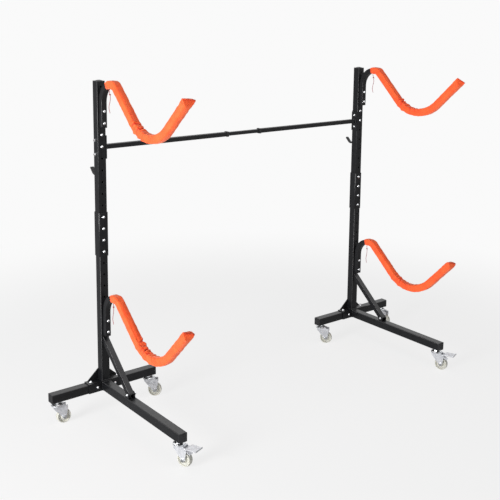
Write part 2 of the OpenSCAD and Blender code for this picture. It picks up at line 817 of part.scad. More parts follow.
// Threaded stem with its bearing race and kingpin, turned about Z, and the nut inside the tube
module caster_stem() {
    tube_floor = caster_height + frame_wall;
    stem_nut = 8;
    rotate_extrude() polygon([
        [0, fork_bottom - seat_gap - kingpin_head],
        [kingpin_head_d / 2 - 1, fork_bottom - seat_gap - kingpin_head],
        [kingpin_head_d / 2, fork_bottom - seat_gap - kingpin_head + 1],
        [kingpin_head_d / 2, fork_bottom - seat_gap],
        [kingpin_d / 2, fork_bottom - seat_gap],
        [kingpin_d / 2, race_bottom],
        [race_d / 2, race_bottom],
        [race_d / 2, race_bottom + race_height / 2],
        [race_d / 2 - 6, race_bottom + race_height],
        [stem_d / 2, race_bottom + race_height],
        [stem_d / 2, tube_floor + stem_nut + 2],
        [0, tube_floor + stem_nut + 2]
    ]);
    translate([0, 0, caster_height - jam_nut_height]) stem_ring(jam_nut_height);
    translate([0, 0, tube_floor]) stem_ring(stem_nut);
}

module stem_ring(height) {
    difference() {
        cylinder(d = (stem_d + 7) / cos(30), h = height, $fn = 6);
        translate([0, 0, -through]) cylinder(d = stem_d + 2 * fit, h = height + 2 * through);
    }
}

module caster_stems(side) {
    color(zinc) for (position = ["front", "outer", "inner"]) at_caster(side, position) caster_stem();
}

// Places a shape drawn in (trail, height) upright along the caster, centred across it
module across_caster(width) {
    rotate([90, 0, 0]) linear_extrude(width, center = true) children();
}

module cheek_profile() {
    axle_ring = axle_d / 2 + 4;
    difference() {
        union() {
            polygon([
                [-18, fork_bottom], [-18, fork_bottom - 7], [trail - axle_ring, axle_z], [trail + axle_ring, axle_z],
                [cheek_front, fork_bottom - 16], [cheek_front, fork_bottom]
            ]);
            translate([trail, axle_z]) circle(r = axle_ring);
        }
        translate([trail, axle_z]) circle(d = axle_d + 2 * fit);
    }
}

module fork(side, position) {
    cheek_offset = (fork_gap + cheek_thickness) / 2;
    color(fork_zinc) at_caster(side, position) {
        difference() {
            union() {
                translate([0, 0, fork_bottom]) linear_extrude(fork_plate) {
                    circle(d = race_d);
                    translate([0, -fork_width / 2]) square([30, fork_width]);
                }
                for (v = [-1, 1]) translate([0, v * cheek_offset, 0])
                    across_caster(cheek_thickness) cheek_profile();
            }
            translate([0, 0, fork_bottom - through]) cylinder(d = kingpin_d + 2 * fit, h = fork_plate + 2 * through);
            if (position == "front") translate([pedal_pivot[0], 0, pedal_pivot[1]]) rotate([90, 0, 0])
                cylinder(d = pedal_pin_d + 2 * fit, h = fork_width + through, center = true);
        }
        if (position == "front") translate([pedal_pivot[0], 0, pedal_pivot[1]]) rotate([90, 0, 0]) {
            cylinder(d = pedal_pin_d, h = fork_width + through, center = true);
            for (v = [-1, 1]) translate([0, 0, v * (fork_width / 2 + 0.75)])
                cylinder(d = pedal_pin_d + 3, h = 1.5, center = true);
        }
    }
}

module wheel(side, position) {
    rim = wheel_d / 2;
    half = wheel_width / 2;
    hub = (fork_gap - 1) / 2;
    color(nylon) at_caster(side, position) translate([trail, 0, axle_z]) rotate([90, 0, 0])
        rotate_extrude() polygon([
            [axle_d / 2 + fit, -hub], [axle_d / 2 + 6, -hub], [axle_d / 2 + 7, -hub + 3],
            [axle_d / 2 + 8, -half + 5], [rim - 8, -half + 5], [rim - 6, -half], [rim - 2.5, -half],
            [rim - 0.7, -half + 1], [rim, -half + 3], [rim, half - 3], [rim - 0.7, half - 1],
            [rim - 2.5, half], [rim - 6, half], [rim - 8, half - 5], [axle_d / 2 + 8, half - 5],
            [axle_d / 2 + 7, hub - 3], [axle_d / 2 + 6, hub], [axle_d / 2 + fit, hub]
        ]);
}

// Axle bolt with its head on one cheek and its nut on the other
module axle(side, position) {
    outside = fork_width / 2;
    head = 3.5;
    axle_nut = 5;
    color(zinc) at_caster(side, position) translate([trail, 0, axle_z]) rotate([90, 0, 0]) {
        translate([0, 0, -outside]) cylinder(d = axle_d, h = 2 * outside + axle_nut + 1.5);
        translate([0, 0, -outside - head]) cylinder(d = axle_d + 6, h = head, $fn = 6);
        translate([0, 0, outside]) difference() {
            cylinder(d = axle_d + 6, h = axle_nut, $fn = 6);
            translate([0, 0, -through]) cylinder(d = axle_d + 2 * fit, h = axle_nut + 2 * through);
        }
    }
}

// Pedal on a pin between the cheeks; its shoe comes down on the wheel when it is pressed
module brake_pedal(side) {
    tongue = fork_gap - 4;
    plate_start = cheek_front + 2;
    plate_z = pedal_pivot[1] + 8;
    sheet = 3;
    hub = pedal_pin_d / 2 + 3;
    color(fork_zinc) at_caster(side, "front") difference() {
        union() {
            across_caster(tongue) {
                translate(pedal_pivot) circle(r = hub);
                polygon([
                    pedal_pivot + [-hub * 0.4, hub * 0.9], pedal_pivot + [hub * 0.9, -hub * 0.4],
                    [plate_start + sheet, plate_z], [plate_start + sheet, plate_z + sheet], [plate_start, plate_z + sheet]
                ]);
                brake_shoe();
            }
            across_caster(pedal_width) {
                translate([plate_start, plate_z]) square([pedal_end - plate_start, sheet]);
                translate([pedal_end - sheet, plate_z]) square([sheet, 2 * sheet]);
            }
        }
        translate([pedal_pivot[0], 0, pedal_pivot[1]]) rotate([90, 0, 0])
            cylinder(d = pedal_pin_d + 2 * fit, h = fork_gap, center = true);
    }
}

// Straight shoe, drawn against the tread and lifted back to rest
module brake_shoe() {
    inner = wheel_d / 2 + seat_gap;
    shoe = 3;
    shoe_length = 17;
    shoe_turn = 55;
    translate(pedal_pivot) rotate(brake_travel) translate(-pedal_pivot) {
        translate([trail, axle_z]) rotate(shoe_turn) translate([inner, -shoe_length / 2]) square([shoe, shoe_length]);
        polygon([
            pedal_pivot + [-2.5, 0], pedal_pivot + [4, 0],
            [trail, axle_z] + (inner + shoe * 0.7) * [cos(shoe_turn - 5), sin(shoe_turn - 5)],
            [trail, axle_z] + (inner + shoe * 0.7) * [cos(shoe_turn + 9), sin(shoe_turn + 9)]
        ]);
    }
}

crosspiece(left);  // left_crosspiece
leg(left);  // left_leg
lower_post(left);  // left_lower_post
upper_post(left);  // left_upper_post
splice_sleeve(left);  // left_splice_sleeve
brace(left);  // left_brace
end_plugs(left);  // left_end_plugs
arm(left, lower_arm_hole, tab_thickness, lower_lift);  // left_lower_arm
arm(left, upper_arm_hole, 0, 0);  // left_upper_arm
pad(left, lower_arm_hole, tab_thickness, lower_lift);  // left_lower_pad
pad(left, upper_arm_hole, 0, 0);  // left_upper_pad
cord(left, lower_arm_hole, tab_thickness);  // left_lower_cord
cord(left, upper_arm_hole, 0);  // left_upper_cord
hook(left);  // left_hook
bolts(left);  // left_bolts
caster_stems(left);  // left_caster_stems
fork(left, "front");  // left_front_fork
wheel(left, "front");  // left_front_wheel
axle(left, "front");  // left_front_axle
brake_pedal(left);  // left_brake_pedal
fork(left, "outer");  // left_outer_fork
wheel(left, "outer");  // left_outer_wheel
axle(left, "outer");  // left_outer_axle
fork(left, "inner");  // left_inner_fork
wheel(left, "inner");  // left_inner_wheel
axle(left, "inner");  // left_inner_axle
crosspiece(right);  // right_crosspiece
leg(right);  // right_leg
lower_post(right);  // right_lower_post
upper_post(right);  // right_upper_post
splice_sleeve(right);  // right_splice_sleeve
brace(right);  // right_brace
end_plugs(right);  // right_end_plugs
arm(right, lower_arm_hole, tab_thickness, lower_lift);  // right_lower_arm
arm(right, upper_arm_hole, 0, 0);  // right_upper_arm
pad(right, lower_arm_hole, tab_thickness, lower_lift);  // right_lower_pad
pad(right, upper_arm_hole, 0, 0);  // right_upper_pad
cord(right, lower_arm_hole, tab_thickness);  // right_lower_cord
cord(right, upper_arm_hole, 0);  // right_upper_cord
hook(right);  // right_hook
bolts(right);  // right_bolts
caster_stems(right);  // right_caster_stems
fork(right, "front");  // right_front_fork
wheel(right, "front");  // right_front_wheel
axle(right, "front");  // right_front_axle
brake_pedal(right);  // right_brake_pedal
fork(right, "outer");  // right_outer_fork
wheel(right, "outer");  // right_outer_wheel
axle(right, "outer");  // right_outer_axle
fork(right, "inner");  // right_inner_fork
wheel(right, "inner");  // right_inner_wheel
axle(right, "inner");  // right_inner_axle
bar_outer_tube(left);  // bar_left_tube
bar_outer_tube(right);  // bar_right_tube
bar_inner_tube();
bar_collar(left);  // bar_left_collar
bar_collar(right);  // bar_right_collar
bar_lock(left);  // bar_left_lock
bar_lock(right);  // bar_right_lock
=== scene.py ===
import math

import bmesh
import bpy
import numpy as np
from mathutils import Matrix, Vector


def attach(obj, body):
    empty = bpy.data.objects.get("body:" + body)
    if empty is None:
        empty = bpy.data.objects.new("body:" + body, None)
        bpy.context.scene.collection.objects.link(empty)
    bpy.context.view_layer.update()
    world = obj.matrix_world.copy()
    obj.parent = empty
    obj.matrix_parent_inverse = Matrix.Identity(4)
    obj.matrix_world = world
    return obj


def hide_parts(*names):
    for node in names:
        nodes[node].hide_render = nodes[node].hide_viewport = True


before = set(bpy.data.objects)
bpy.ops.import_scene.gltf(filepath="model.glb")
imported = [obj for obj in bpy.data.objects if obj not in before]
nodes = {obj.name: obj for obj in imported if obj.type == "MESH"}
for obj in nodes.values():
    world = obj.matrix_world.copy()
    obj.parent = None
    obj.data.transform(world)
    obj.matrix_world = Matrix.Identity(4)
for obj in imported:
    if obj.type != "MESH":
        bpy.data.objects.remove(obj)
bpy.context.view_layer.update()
scene = bpy.context.scene
sides = {"left": -1, "right": 1}
print("frame loaded:", len(nodes), "nodes")

# sizes repeated from the rack's source, in metres
rack = {
    "postX": 0.757, "postY": 0.30503, "halfTube": 0.019, "baseTop": 0.138, "baseMid": 0.119,
    "holePitch": 0.05, "barHeight": 1.165, "postGap": 1.476,
}

# camera and light

cameraSettings = {
    "place": (-2.503, -2.91197, 1.7558), "yaw": 38.4, "pitch": 9.4, "roll": 0.6,
    "lens": 63.02, "sensor": 36, "shift": (-0.0014, -0.2), "clip": (0.05, 100),
}
lightSettings = {
    "key": {"place": (-4.6, -0.6, 1.3), "size": 1.8, "power": 215.0},
    "top": {"place": (-0.4, -0.6, 4.2), "size": 3.0, "power": 28.0},
    "fill": {"place": (2.6, -3.6, 2.2), "size": 3.2, "power": 12.0},
    "aim": (0, 0, 0.7), "worldLevel": 0.18, "whiteLevel": 0.955,
    # the room in reflections is dim at the horizon and grows brighter between two slopes of the ray
    "glossHorizon": 0.12, "glossTop": 1.4, "climb": (0.02, 0.45),
}
floorSettings = {
    "radius": 30.0, "segments": 96, "shade": 0.9, "glossShade": 0.32,
    # a glow hides the far edge: its least share, and the distances where it grows and is full
    "glowShare": 0.82, "clearRadius": 1.3, "fadeRadius": 3.0,
}


def makeCamera(settings):
    yaw, pitch, roll = (math.radians(settings[k]) for k in ("yaw", "pitch", "roll"))
    ahead = Vector((math.sin(yaw) * math.cos(pitch), math.cos(yaw) * math.cos(pitch), -math.sin(pitch)))
    flat = Vector((math.cos(yaw), -math.sin(yaw), 0))
    above = flat.cross(ahead)
    right = flat * math.cos(roll) + above * math.sin(roll)
    up = above * math.cos(roll) - flat * math.sin(roll)
    data = bpy.data.cameras.new("camera")
    data.lens, data.sensor_width = settings["lens"], settings["sensor"]
    data.shift_x, data.shift_y = settings["shift"]
    data.clip_start, data.clip_end = settings["clip"]
    camera = bpy.data.objects.new("camera", data)
    turn = Matrix((right, up, -ahead)).transposed().to_4x4()
    camera.matrix_world = Matrix.Translation(settings["place"]) @ turn
    scene.collection.objects.link(camera)
    scene.camera = camera


def makeLamp(name, settings, target):
    data = bpy.data.lights.new(name, "AREA")
    data.shape, data.size, data.energy = "DISK", settings["size"], settings["power"]
    lamp = bpy.data.objects.new(name, data)
    lamp.location = settings["place"]
    aim = Vector(target) - lamp.location
    lamp.rotation_euler = aim.to_track_quat("-Z", "Y").to_euler()
    scene.collection.objects.link(lamp)


def glowNode(tree, kind, level):
    # white light of one strength
    node = tree.nodes.new(kind)
    node.inputs["Color"].default_value = (1, 1, 1, 1)
    node.inputs["Strength"].default_value = level
    return node


def rangeNode(tree, value, fromEnds, toEnds, kind="LINEAR"):
    node = tree.nodes.new("ShaderNodeMapRange")
    node.interpolation_type = kind
    for name, number in zip(("From Min", "From Max", "To Min", "To Max"), fromEnds + toEnds):
        node.inputs[name].default_value = number
    tree.links.new(value, node.inputs["Value"])
    return node.outputs[0]


def blendNode(tree, share, first, second):
    node = tree.nodes.new("ShaderNodeMixShader")
    for socket, source in zip(node.inputs, (share, first, second)):
        tree.links.new(source, socket)
    return node.outputs[0]


def makeWorld(settings):
    # even light on surfaces, a plain white for the camera, and a room for reflections
    world = bpy.data.worlds.new("studio")
    scene.world = world
    world.use_nodes = True
    tree = world.node_tree
    tree.nodes.clear()
    even, white, room = (glowNode(tree, "ShaderNodeBackground", settings[level])
                         for level in ("worldLevel", "whiteLevel", "glossTop"))
    place = tree.nodes.new("ShaderNodeTexCoord")
    split = tree.nodes.new("ShaderNodeSeparateXYZ")
    tree.links.new(place.outputs["Generated"], split.inputs[0])
    ends = (settings["glossHorizon"], settings["glossTop"])
    climb = rangeNode(tree, split.outputs["Z"], settings["climb"], ends, "SMOOTHSTEP")
    tree.links.new(climb, room.inputs["Strength"])
    rays = tree.nodes.new("ShaderNodeLightPath")
    found = even.outputs[0]
    for ray, shade in (("Is Glossy Ray", room), ("Is Transmission Ray", white), ("Is Camera Ray", white)):
        found = blendNode(tree, rays.outputs[ray], found, shade.outputs[0])
    out = tree.nodes.new("ShaderNodeOutputWorld")
    tree.links.new(found, out.inputs["Surface"])


def makeFloor(settings, white):
    mesh = bpy.data.meshes.new("floor")
    bm = bmesh.new()
    bmesh.ops.create_circle(bm, cap_ends=True, radius=settings["radius"], segments=settings["segments"])
    bm.to_mesh(mesh)
    bm.free()
    floor = bpy.data.objects.new("floor", mesh)
    scene.collection.objects.link(floor)
    material = bpy.data.materials.new("paleFloor")
    material.use_nodes = True
    tree = material.node_tree
    tree.nodes.clear()
    lit = tree.nodes.new("ShaderNodeBsdfDiffuse")
    lit.inputs["Color"].default_value = (settings["shade"],) * 3 + (1,)
    glow = glowNode(tree, "ShaderNodeEmission", white)
    place = tree.nodes.new("ShaderNodeNewGeometry")
    reach = tree.nodes.new("ShaderNodeVectorMath")
    reach.operation = "LENGTH"
    tree.links.new(place.outputs["Position"], reach.inputs[0])
    radii = (settings["clearRadius"], settings["fadeRadius"])
    fade = rangeNode(tree, reach.outputs["Value"], radii, (settings["glowShare"], 1.0), "SMOOTHSTEP")
    seen = blendNode(tree, fade, lit.outputs[0], glow.outputs[0])
    # dimmer in reflections, so that the sides of the black paint stay dark
    dim = glowNode(tree, "ShaderNodeEmission", settings["glossShade"])
    rays = tree.nodes.new("ShaderNodeLightPath")
    seen = blendNode(tree, rays.outputs["Is Glossy Ray"], seen, dim.outputs[0])
    out = tree.nodes.new("ShaderNodeOutputMaterial")
    tree.links.new(seen, out.inputs["Surface"])
    mesh.materials.append(material)


makeCamera(cameraSettings)
makeWorld(lightSettings)
for lampName in ("key", "top", "fill"):
    makeLamp(lampName + "Lamp", lightSettings[lampName], lightSettings["aim"])
makeFloor(floorSettings, lightSettings["whiteLevel"])
scene.view_settings.view_transform = "Standard"
print("camera, lamps and floor made")

# materials

materialSettings = {
    # mottled finishes: two shades, ends of the roughness, size of the clouds, and the grain in the bump
    "powderCoat": {"dark": (0.0050, 0.0052, 0.0062), "light": (0.0085, 0.0088, 0.0105), "rough": (0.3, 0.4),
                   "cloud": 38.0, "grain": 900.0, "bump": 0.12, "depth": 0.00025, "specular": 0.42},
    "brightZinc": {"dark": (0.62, 0.64, 0.66), "light": (0.86, 0.87, 0.88), "rough": (0.2, 0.34),
                   "metallic": 1.0, "cloud": 90.0, "grain": 500.0, "bump": 0.05, "depth": 0.0001},
    "forkZinc": {"dark": (0.56, 0.57, 0.6), "light": (0.74, 0.75, 0.78), "rough": (0.3, 0.46),
                 "metallic": 0.45, "cloud": 70.0, "grain": 240.0, "bump": 0.08, "depth": 0.00015},
    "ivoryNylon": {"dark": (0.53, 0.525, 0.47), "light": (0.59, 0.585, 0.53), "rough": (0.38, 0.5),
                   "cloud": 30.0, "grain": 300.0, "bump": 0.04, "depth": 0.0002,
                   "softShare": 0.5, "softReach": (0.005, 0.0048, 0.0042)},
    "plugPlastic": {"dark": (0.010, 0.010, 0.011), "light": (0.018, 0.018, 0.02), "rough": (0.42, 0.58),
                    "cloud": 38.0, "grain": 1400.0, "bump": 0.16, "depth": 0.0002},
    "hookCoating": {"dark": (0.006, 0.006, 0.0066), "light": (0.011, 0.011, 0.012), "rough": (0.3, 0.42),
                    "cloud": 38.0, "grain": 160.0, "bump": 0.1, "depth": 0.0004, "specular": 0.3},
    # the sleeve's deep red is painted shade for the folds and the lip inside the hem, and the tone of the
    # tip's seam
    "sleeveNylon": {"paintedShadeAndSeamTone": (0.74, 0.036, 0.008), "base": (0.93, 0.084, 0.014), "faded": (0.96, 0.13, 0.026),
                    "cloud": 26.0, "cloudEnds": (0.3, 0.72), "rough": 0.62, "specular": 0.35,
                    "weave": 0.0011, "weaveBump": 0.12, "weaveDepth": 0.00012,
                    "crumple": 120.0, "crumpleBump": 0.22, "crumpleDepth": 0.0006,
                    "sheen": 0.4, "sheenRough": 0.45, "sheenTint": (1.0, 0.62, 0.42, 1)},
    "cordBraid": {"dark": (0.16, 0.008, 0.014), "light": (0.42, 0.03, 0.045), "rough": 0.7, "sheen": 0.2,
                  "speckle": 700.0, "speckleEnds": (0.35, 0.65),
                  "fibre": 2400.0, "bump": 0.3, "depth": 0.0001},
}
# ends of the noise for the clouds and the wear, how much finer the wear is, and how rough every noise is
mottleSettings = {"cloudEnds": (0.32, 0.68), "wearEnds": (0.3, 0.7), "wearFiner": 2.3, "noiseRough": 0.55}


def blankMaterial(name, rough=0.5, metallic=0.0):
    material = bpy.data.materials.new(name)
    material.use_nodes = True
    tree = material.node_tree
    shader = tree.nodes["Principled BSDF"]
    shader.inputs["Metallic"].default_value = metallic
    shader.inputs["Roughness"].default_value = rough
    return material, tree, shader


def noiseNode(tree, scale, detail):
    node = tree.nodes.new("ShaderNodeTexNoise")
    node.inputs["Scale"].default_value = scale
    node.inputs["Detail"].default_value = detail
    node.inputs["Roughness"].default_value = mottleSettings["noiseRough"]
    place = tree.nodes.new("ShaderNodeTexCoord")
    tree.links.new(place.outputs["Object"], node.inputs["Vector"])
    return node.outputs["Fac"]


def rampNode(tree, value, ends, colours):
    node = tree.nodes.new("ShaderNodeValToRGB")
    for element, place, colour in zip(node.color_ramp.elements, ends, colours):
        element.position, element.color = place, colour + (1,)
    tree.links.new(value, node.inputs["Fac"])
    return node.outputs["Color"]


def mathNode(tree, operation, *values):
    # each value is a number or the output of another node
    node = tree.nodes.new("ShaderNodeMath")
    node.operation = operation
    for socket, value in zip(node.inputs, values):
        if isinstance(value, float):
            socket.default_value = value
        else:
            tree.links.new(value, socket)
    return node.outputs[0]


def bumpNode(tree, height, strength, depth, base=None):
    node = tree.nodes.new("ShaderNodeBump")
    node.inputs["Strength"].default_value = strength
    node.inputs["Distance"].default_value = depth
    tree.links.new(height, node.inputs["Height"])
    if base is not None:
        tree.links.new(base, node.inputs["Normal"])
    return node.outputs["Normal"]


def mottledMaterial(name):
    # cloudy colour and roughness with a fine grain in the bump
    own, mottle = materialSettings[name], mottleSettings
    material, tree, shader = blankMaterial(name, metallic=own.get("metallic", 0.0))
    cloud = noiseNode(tree, own["cloud"], 3.0)
    colour = rampNode(tree, cloud, mottle["cloudEnds"], (own["dark"], own["light"]))
    tree.links.new(colour, shader.inputs["Base Color"])
    wear = noiseNode(tree, own["cloud"] * mottle["wearFiner"], 3.0)
    tree.links.new(rangeNode(tree, wear, mottle["wearEnds"], own["rough"]), shader.inputs["Roughness"])
    grain = noiseNode(tree, own["grain"], 2.0)
    tree.links.new(bumpNode(tree, grain, own["bump"], own["depth"]), shader.inputs["Normal"])
    shader.inputs["Specular IOR Level"].default_value = own.get("specular", 0.5)
    if "softShare" in own:
        shader.inputs["Subsurface Weight"].default_value = own["softShare"]
        shader.inputs["Subsurface Scale"].default_value = 1.0
        shader.inputs["Subsurface Radius"].default_value = own["softReach"]
    return material


def makeSleeveNylon():
    own = materialSettings["sleeveNylon"]
    material, tree, shader = blankMaterial("sleeveNylon", own["rough"])
    uv = tree.nodes.new("ShaderNodeUVMap")
    uv.uv_map = "cloth"
    split = tree.nodes.new("ShaderNodeSeparateXYZ")
    tree.links.new(uv.outputs["UV"], split.inputs[0])
    threads = []
    for axis, phase in (("X", 0.0), ("Y", math.pi / 2)):
        scaled = mathNode(tree, "MULTIPLY_ADD", split.outputs[axis], 2 * math.pi / own["weave"], phase)
        threads.append(mathNode(tree, "SINE", scaled))
    weave = mathNode(tree, "MULTIPLY", *threads)
    # painted shade: the cloth turns a deeper red in its folds and on the lip inside the hem, and along the
    # tip's seam
    paintedShadeAndSeam = tree.nodes.new("ShaderNodeAttribute")
    paintedShadeAndSeam.attribute_name = "paintedShadeAndSeam"
    tinted = rampNode(tree, noiseNode(tree, own["cloud"], 4.0), own["cloudEnds"], (own["base"], own["faded"]))
    paintedShadeAndSeamTone = tree.nodes.new("ShaderNodeMix")
    paintedShadeAndSeamTone.data_type = "RGBA"
    tree.links.new(paintedShadeAndSeam.outputs["Fac"], paintedShadeAndSeamTone.inputs["Factor"])
    tree.links.new(tinted, paintedShadeAndSeamTone.inputs["A"])
    paintedShadeAndSeamTone.inputs["B"].default_value = own["paintedShadeAndSeamTone"] + (1,)
    tree.links.new(paintedShadeAndSeamTone.outputs["Result"], shader.inputs["Base Color"])
    crumple = bumpNode(tree, noiseNode(tree, own["crumple"], 3.0), own["crumpleBump"], own["crumpleDepth"])
    normal = bumpNode(tree, weave, own["weaveBump"], own["weaveDepth"], crumple)
    tree.links.new(normal, shader.inputs["Normal"])
    shader.inputs["Sheen Weight"].default_value = own["sheen"]
    shader.inputs["Sheen Roughness"].default_value = own["sheenRough"]
    shader.inputs["Sheen Tint"].default_value = own["sheenTint"]
    shader.inputs["Specular IOR Level"].default_value = own["specular"]
    return material


def makeCordBraid():
    own = materialSettings["cordBraid"]
    material, tree, shader = blankMaterial("cordBraid", own["rough"])
    speckle = noiseNode(tree, own["speckle"], 2.0)
    colour = rampNode(tree, speckle, own["speckleEnds"], (own["dark"], own["light"]))
    tree.links.new(colour, shader.inputs["Base Color"])
    fibre = bumpNode(tree, noiseNode(tree, own["fibre"], 1.0), own["bump"], own["depth"])
    tree.links.new(fibre, shader.inputs["Normal"])
    shader.inputs["Sheen Weight"].default_value = own["sheen"]
    return material


powderCoat = mottledMaterial("powderCoat")
brightZinc = mottledMaterial("brightZinc")
forkZinc = mottledMaterial("forkZinc")
ivoryNylon = mottledMaterial("ivoryNylon")
plugPlastic = mottledMaterial("plugPlastic")
hookCoating = mottledMaterial("hookCoating")
sleeveNylon = makeSleeveNylon()
cordBraid = makeCordBraid()
print("materials made")

# carried-over pieces: finish and softened edges

standFinishes = [
    (powderCoat, ["crosspiece", "leg", "lower_post", "upper_post", "splice_sleeve", "brace"]),
    (plugPlastic, ["end_plugs"]),
    (brightZinc, ["bolts", "caster_stems", "front_axle", "outer_axle", "inner_axle"]),
    (forkZinc, ["front_fork", "outer_fork", "inner_fork", "brake_pedal"]),
    (ivoryNylon, ["front_wheel", "outer_wheel", "inner_wheel"]),
]
barFinishes = [
    (powderCoat, ["left_tube", "right_tube", "inner_tube"]),
    (plugPlastic, ["left_collar", "right_collar"]),
    (brightZinc, ["left_lock", "right_lock"]),
]
edgeSettings = {"weld": 0.00002, "radius": 0.0006, "segments": 2, "angle": 38.0}


def dressNode(node, material):
    piece = nodes[node]
    piece.data.materials.clear()
    piece.data.materials.append(material)
    weld = piece.modifiers.new("weld", "WELD")
    weld.merge_threshold = edgeSettings["weld"]
    soft = piece.modifiers.new("edges", "BEVEL")
    soft.width, soft.segments = edgeSettings["radius"], edgeSettings["segments"]
    soft.limit_method, soft.angle_limit = "ANGLE", math.radians(edgeSettings["angle"])
    soft.harden_normals = True


for prefix, finishes in (("left_", standFinishes), ("right_", standFinishes), ("bar_", barFinishes)):
    for material, kinds in finishes:
        for kind in kinds:
            dressNode(prefix + kind, material)
print("carried-over pieces dressed")


# swept pieces lie in the plane (distance in front of the post, height), as in the source

def walkPath(start, parts, step):
    # rows of distance, height, heading in radians and length so far, a step apart;
    # a part is straight with a length, or bent with a radius and the degrees it turns
    def advance(share):
        if not radius:
            return d + run * share * math.cos(heading), z + run * share * math.sin(heading), heading
        r = math.copysign(radius, turn)
        h = heading + turn * share
        return d + r * (math.sin(h) - math.sin(heading)), z - r * (math.cos(h) - math.cos(heading)), h

    rows = []
    d, z, heading = start[0], start[1], math.radians(start[2])
    done = 0.0
    for length, radius, turn in parts:
        turn = math.radians(turn)
        run = abs(turn) * radius if radius else length
        count = max(1, round(run / step))
        for k in range(count):
            rows.append((*advance(k / count), done + run * (k / count)))
        d, z, heading = advance(1)
        done += run
    rows.append((d, z, heading, done))
    return np.array(rows)


def lengthsAlong(line):
    # length from the start of a line to each of its points
    return np.concatenate([[0], np.cumsum(np.linalg.norm(np.diff(line, axis=0), axis=1))])


def evenPoints(line, count):
    # points evenly spaced along a closed line, whose last point repeats the first
    gone = lengthsAlong(line)
    wanted = np.linspace(0, gone[-1], count, endpoint=False)
    return np.stack([np.interp(wanted, gone, line[:, i]) for i in range(line.shape[1])], 1)


def roundedLoop(thick, wide, corner, count):
    # points evenly spaced round a rounded rectangle, from the middle of its underside
    least, steps = 1e-5, 12
    corner = min(corner, thick / 2 - least, wide / 2 - least)
    flatN, flatW = thick / 2 - corner, wide / 2 - corner
    middle = (-thick / 2, 0.0)
    outline = [middle]
    for signN, signW, first in ((-1, 1, -90), (1, 1, 0), (1, -1, 90), (-1, -1, 180)):
        for k in range(steps + 1):
            a = math.radians(first + k * 90 / steps)
            outline.append((signN * flatN + corner * math.sin(a), signW * flatW + corner * math.cos(a)))
    return evenPoints(np.array(outline + [middle]), count)


def placeRing(row, loop):
    d, z, h = row[0], row[1], row[2]
    n, w = loop[:, 0], loop[:, 1]
    return np.stack([d - n * math.sin(h), z + n * math.cos(h), w], 1)


def standPoints(points, side):
    # from distance, height and sideways to the row frame
    p = np.asarray(points, float)
    return np.stack([side * rack["postX"] - p[..., 2], rack["postY"] - p[..., 0], p[..., 1]], -1)


def meshPiece(name, verts, faces, uvTable=None):
    # a smooth piece with its faces turned outward
    mesh = bpy.data.meshes.new(name)
    mesh.from_pydata(verts, [], faces)
    if uvTable is not None:
        mesh.uv_layers.new(name="cloth").data.foreach_set("uv", uvTable.ravel())
    mesh.polygons.foreach_set("use_smooth", [True] * len(mesh.polygons))
    bm = bmesh.new()
    bm.from_mesh(mesh)
    bmesh.ops.recalc_face_normals(bm, faces=bm.faces)
    bm.to_mesh(mesh)
    bm.free()
    piece = bpy.data.objects.new(name, mesh)
    scene.collection.objects.link(piece)
    return piece


def skinMesh(name, rings, closeStart=True, closeEnd=True, uvRows=None, uvAround=None):
    count, around = len(rings), len(rings[0])
    faces, corners = [], []
    for i in range(count - 1):
        for k in range(around):
            n = (k + 1) % around
            faces.append((i * around + k, i * around + n, (i + 1) * around + n, (i + 1) * around + k))
            if uvRows is not None:
                corners += [(uvAround[k + a], uvRows[i + b]) for a, b in ((0, 0), (1, 0), (1, 1), (0, 1))]
    if closeStart:
        faces.append(tuple(range(around - 1, -1, -1)))
    if closeEnd:
        faces.append(tuple((count - 1) * around + k for k in range(around)))
    uvTable = None
    if uvRows is not None:
        uvTable = np.zeros((sum(len(face) for face in faces), 2), np.float32)
        uvTable[:len(corners)] = corners
    return meshPiece(name, np.concatenate(rings).tolist(), faces, uvTable)


def ringMesh(name, verts, count, around):
    # rings that close on each other, with points that close round each ring
    faces = []
    for i in range(count):
        n = (i + 1) % count
        for k in range(around):
            m = (k + 1) % around
            faces.append((i * around + k, n * around + k, n * around + m, i * around + m))
    return meshPiece(name, verts, faces)


def smoothStep(value):
    value = np.clip(value, 0, 1)
    return value * value * (3 - 2 * value)


# arms: bent square tube

armSettings = {
    "tube": 0.025, "corner": 0.0022, "around": 64, "step": 0.006,
    "belowBolt": 0.018, "aboveBolt": 0.036, "neckRadius": 0.08, "shoulder": 0.014, "shoulderRadius": 0.035,
    "fallAngle": 44, "fall": 0.18, "cradleRadius": 0.178, "riseAngle": 43, "rise": 0.164,
    "upper": {"boltZ": 1.318, "seat": 0.0, "lift": 0}, "lower": {"boltZ": 0.418, "seat": 0.003, "lift": 3},
    # the hollow that shows at the foot: how much narrower it is, its corner and its depth
    "rim": 0.003, "boreCorner": 0.001, "boreDepth": 0.012,
    # degrees of the neck bend below each sleeve's hem, as the sleeves happen to sit
    "bareNeck": {
        ("left", "upper"): 66, ("left", "lower"): 73, ("right", "upper"): 79, ("right", "lower"): 75,
    },
}


def armStart(level):
    own = armSettings[level]
    foot = own["boltZ"] - rack["holePitch"] - armSettings["belowBolt"]
    return [rack["halfTube"] + own["seat"] + armSettings["tube"] / 2, foot, 90]


def bareParts(side, level):
    leg = armSettings["belowBolt"] + rack["holePitch"] + armSettings["aboveBolt"]
    return [(leg, 0, 0), (0, armSettings["neckRadius"], -armSettings["bareNeck"][side, level])]


def coveredNeck(side, level):
    return 90 - armSettings[level]["lift"] - armSettings["bareNeck"][side, level]


def coveredParts(side, level):
    own = armSettings
    return [
        (0, own["neckRadius"], -coveredNeck(side, level)), (own["shoulder"], 0, 0),
        (0, own["shoulderRadius"], -own["fallAngle"]), (own["fall"], 0, 0),
        (0, own["cradleRadius"], own["fallAngle"] + own["riseAngle"]), (own["rise"], 0, 0),
    ]


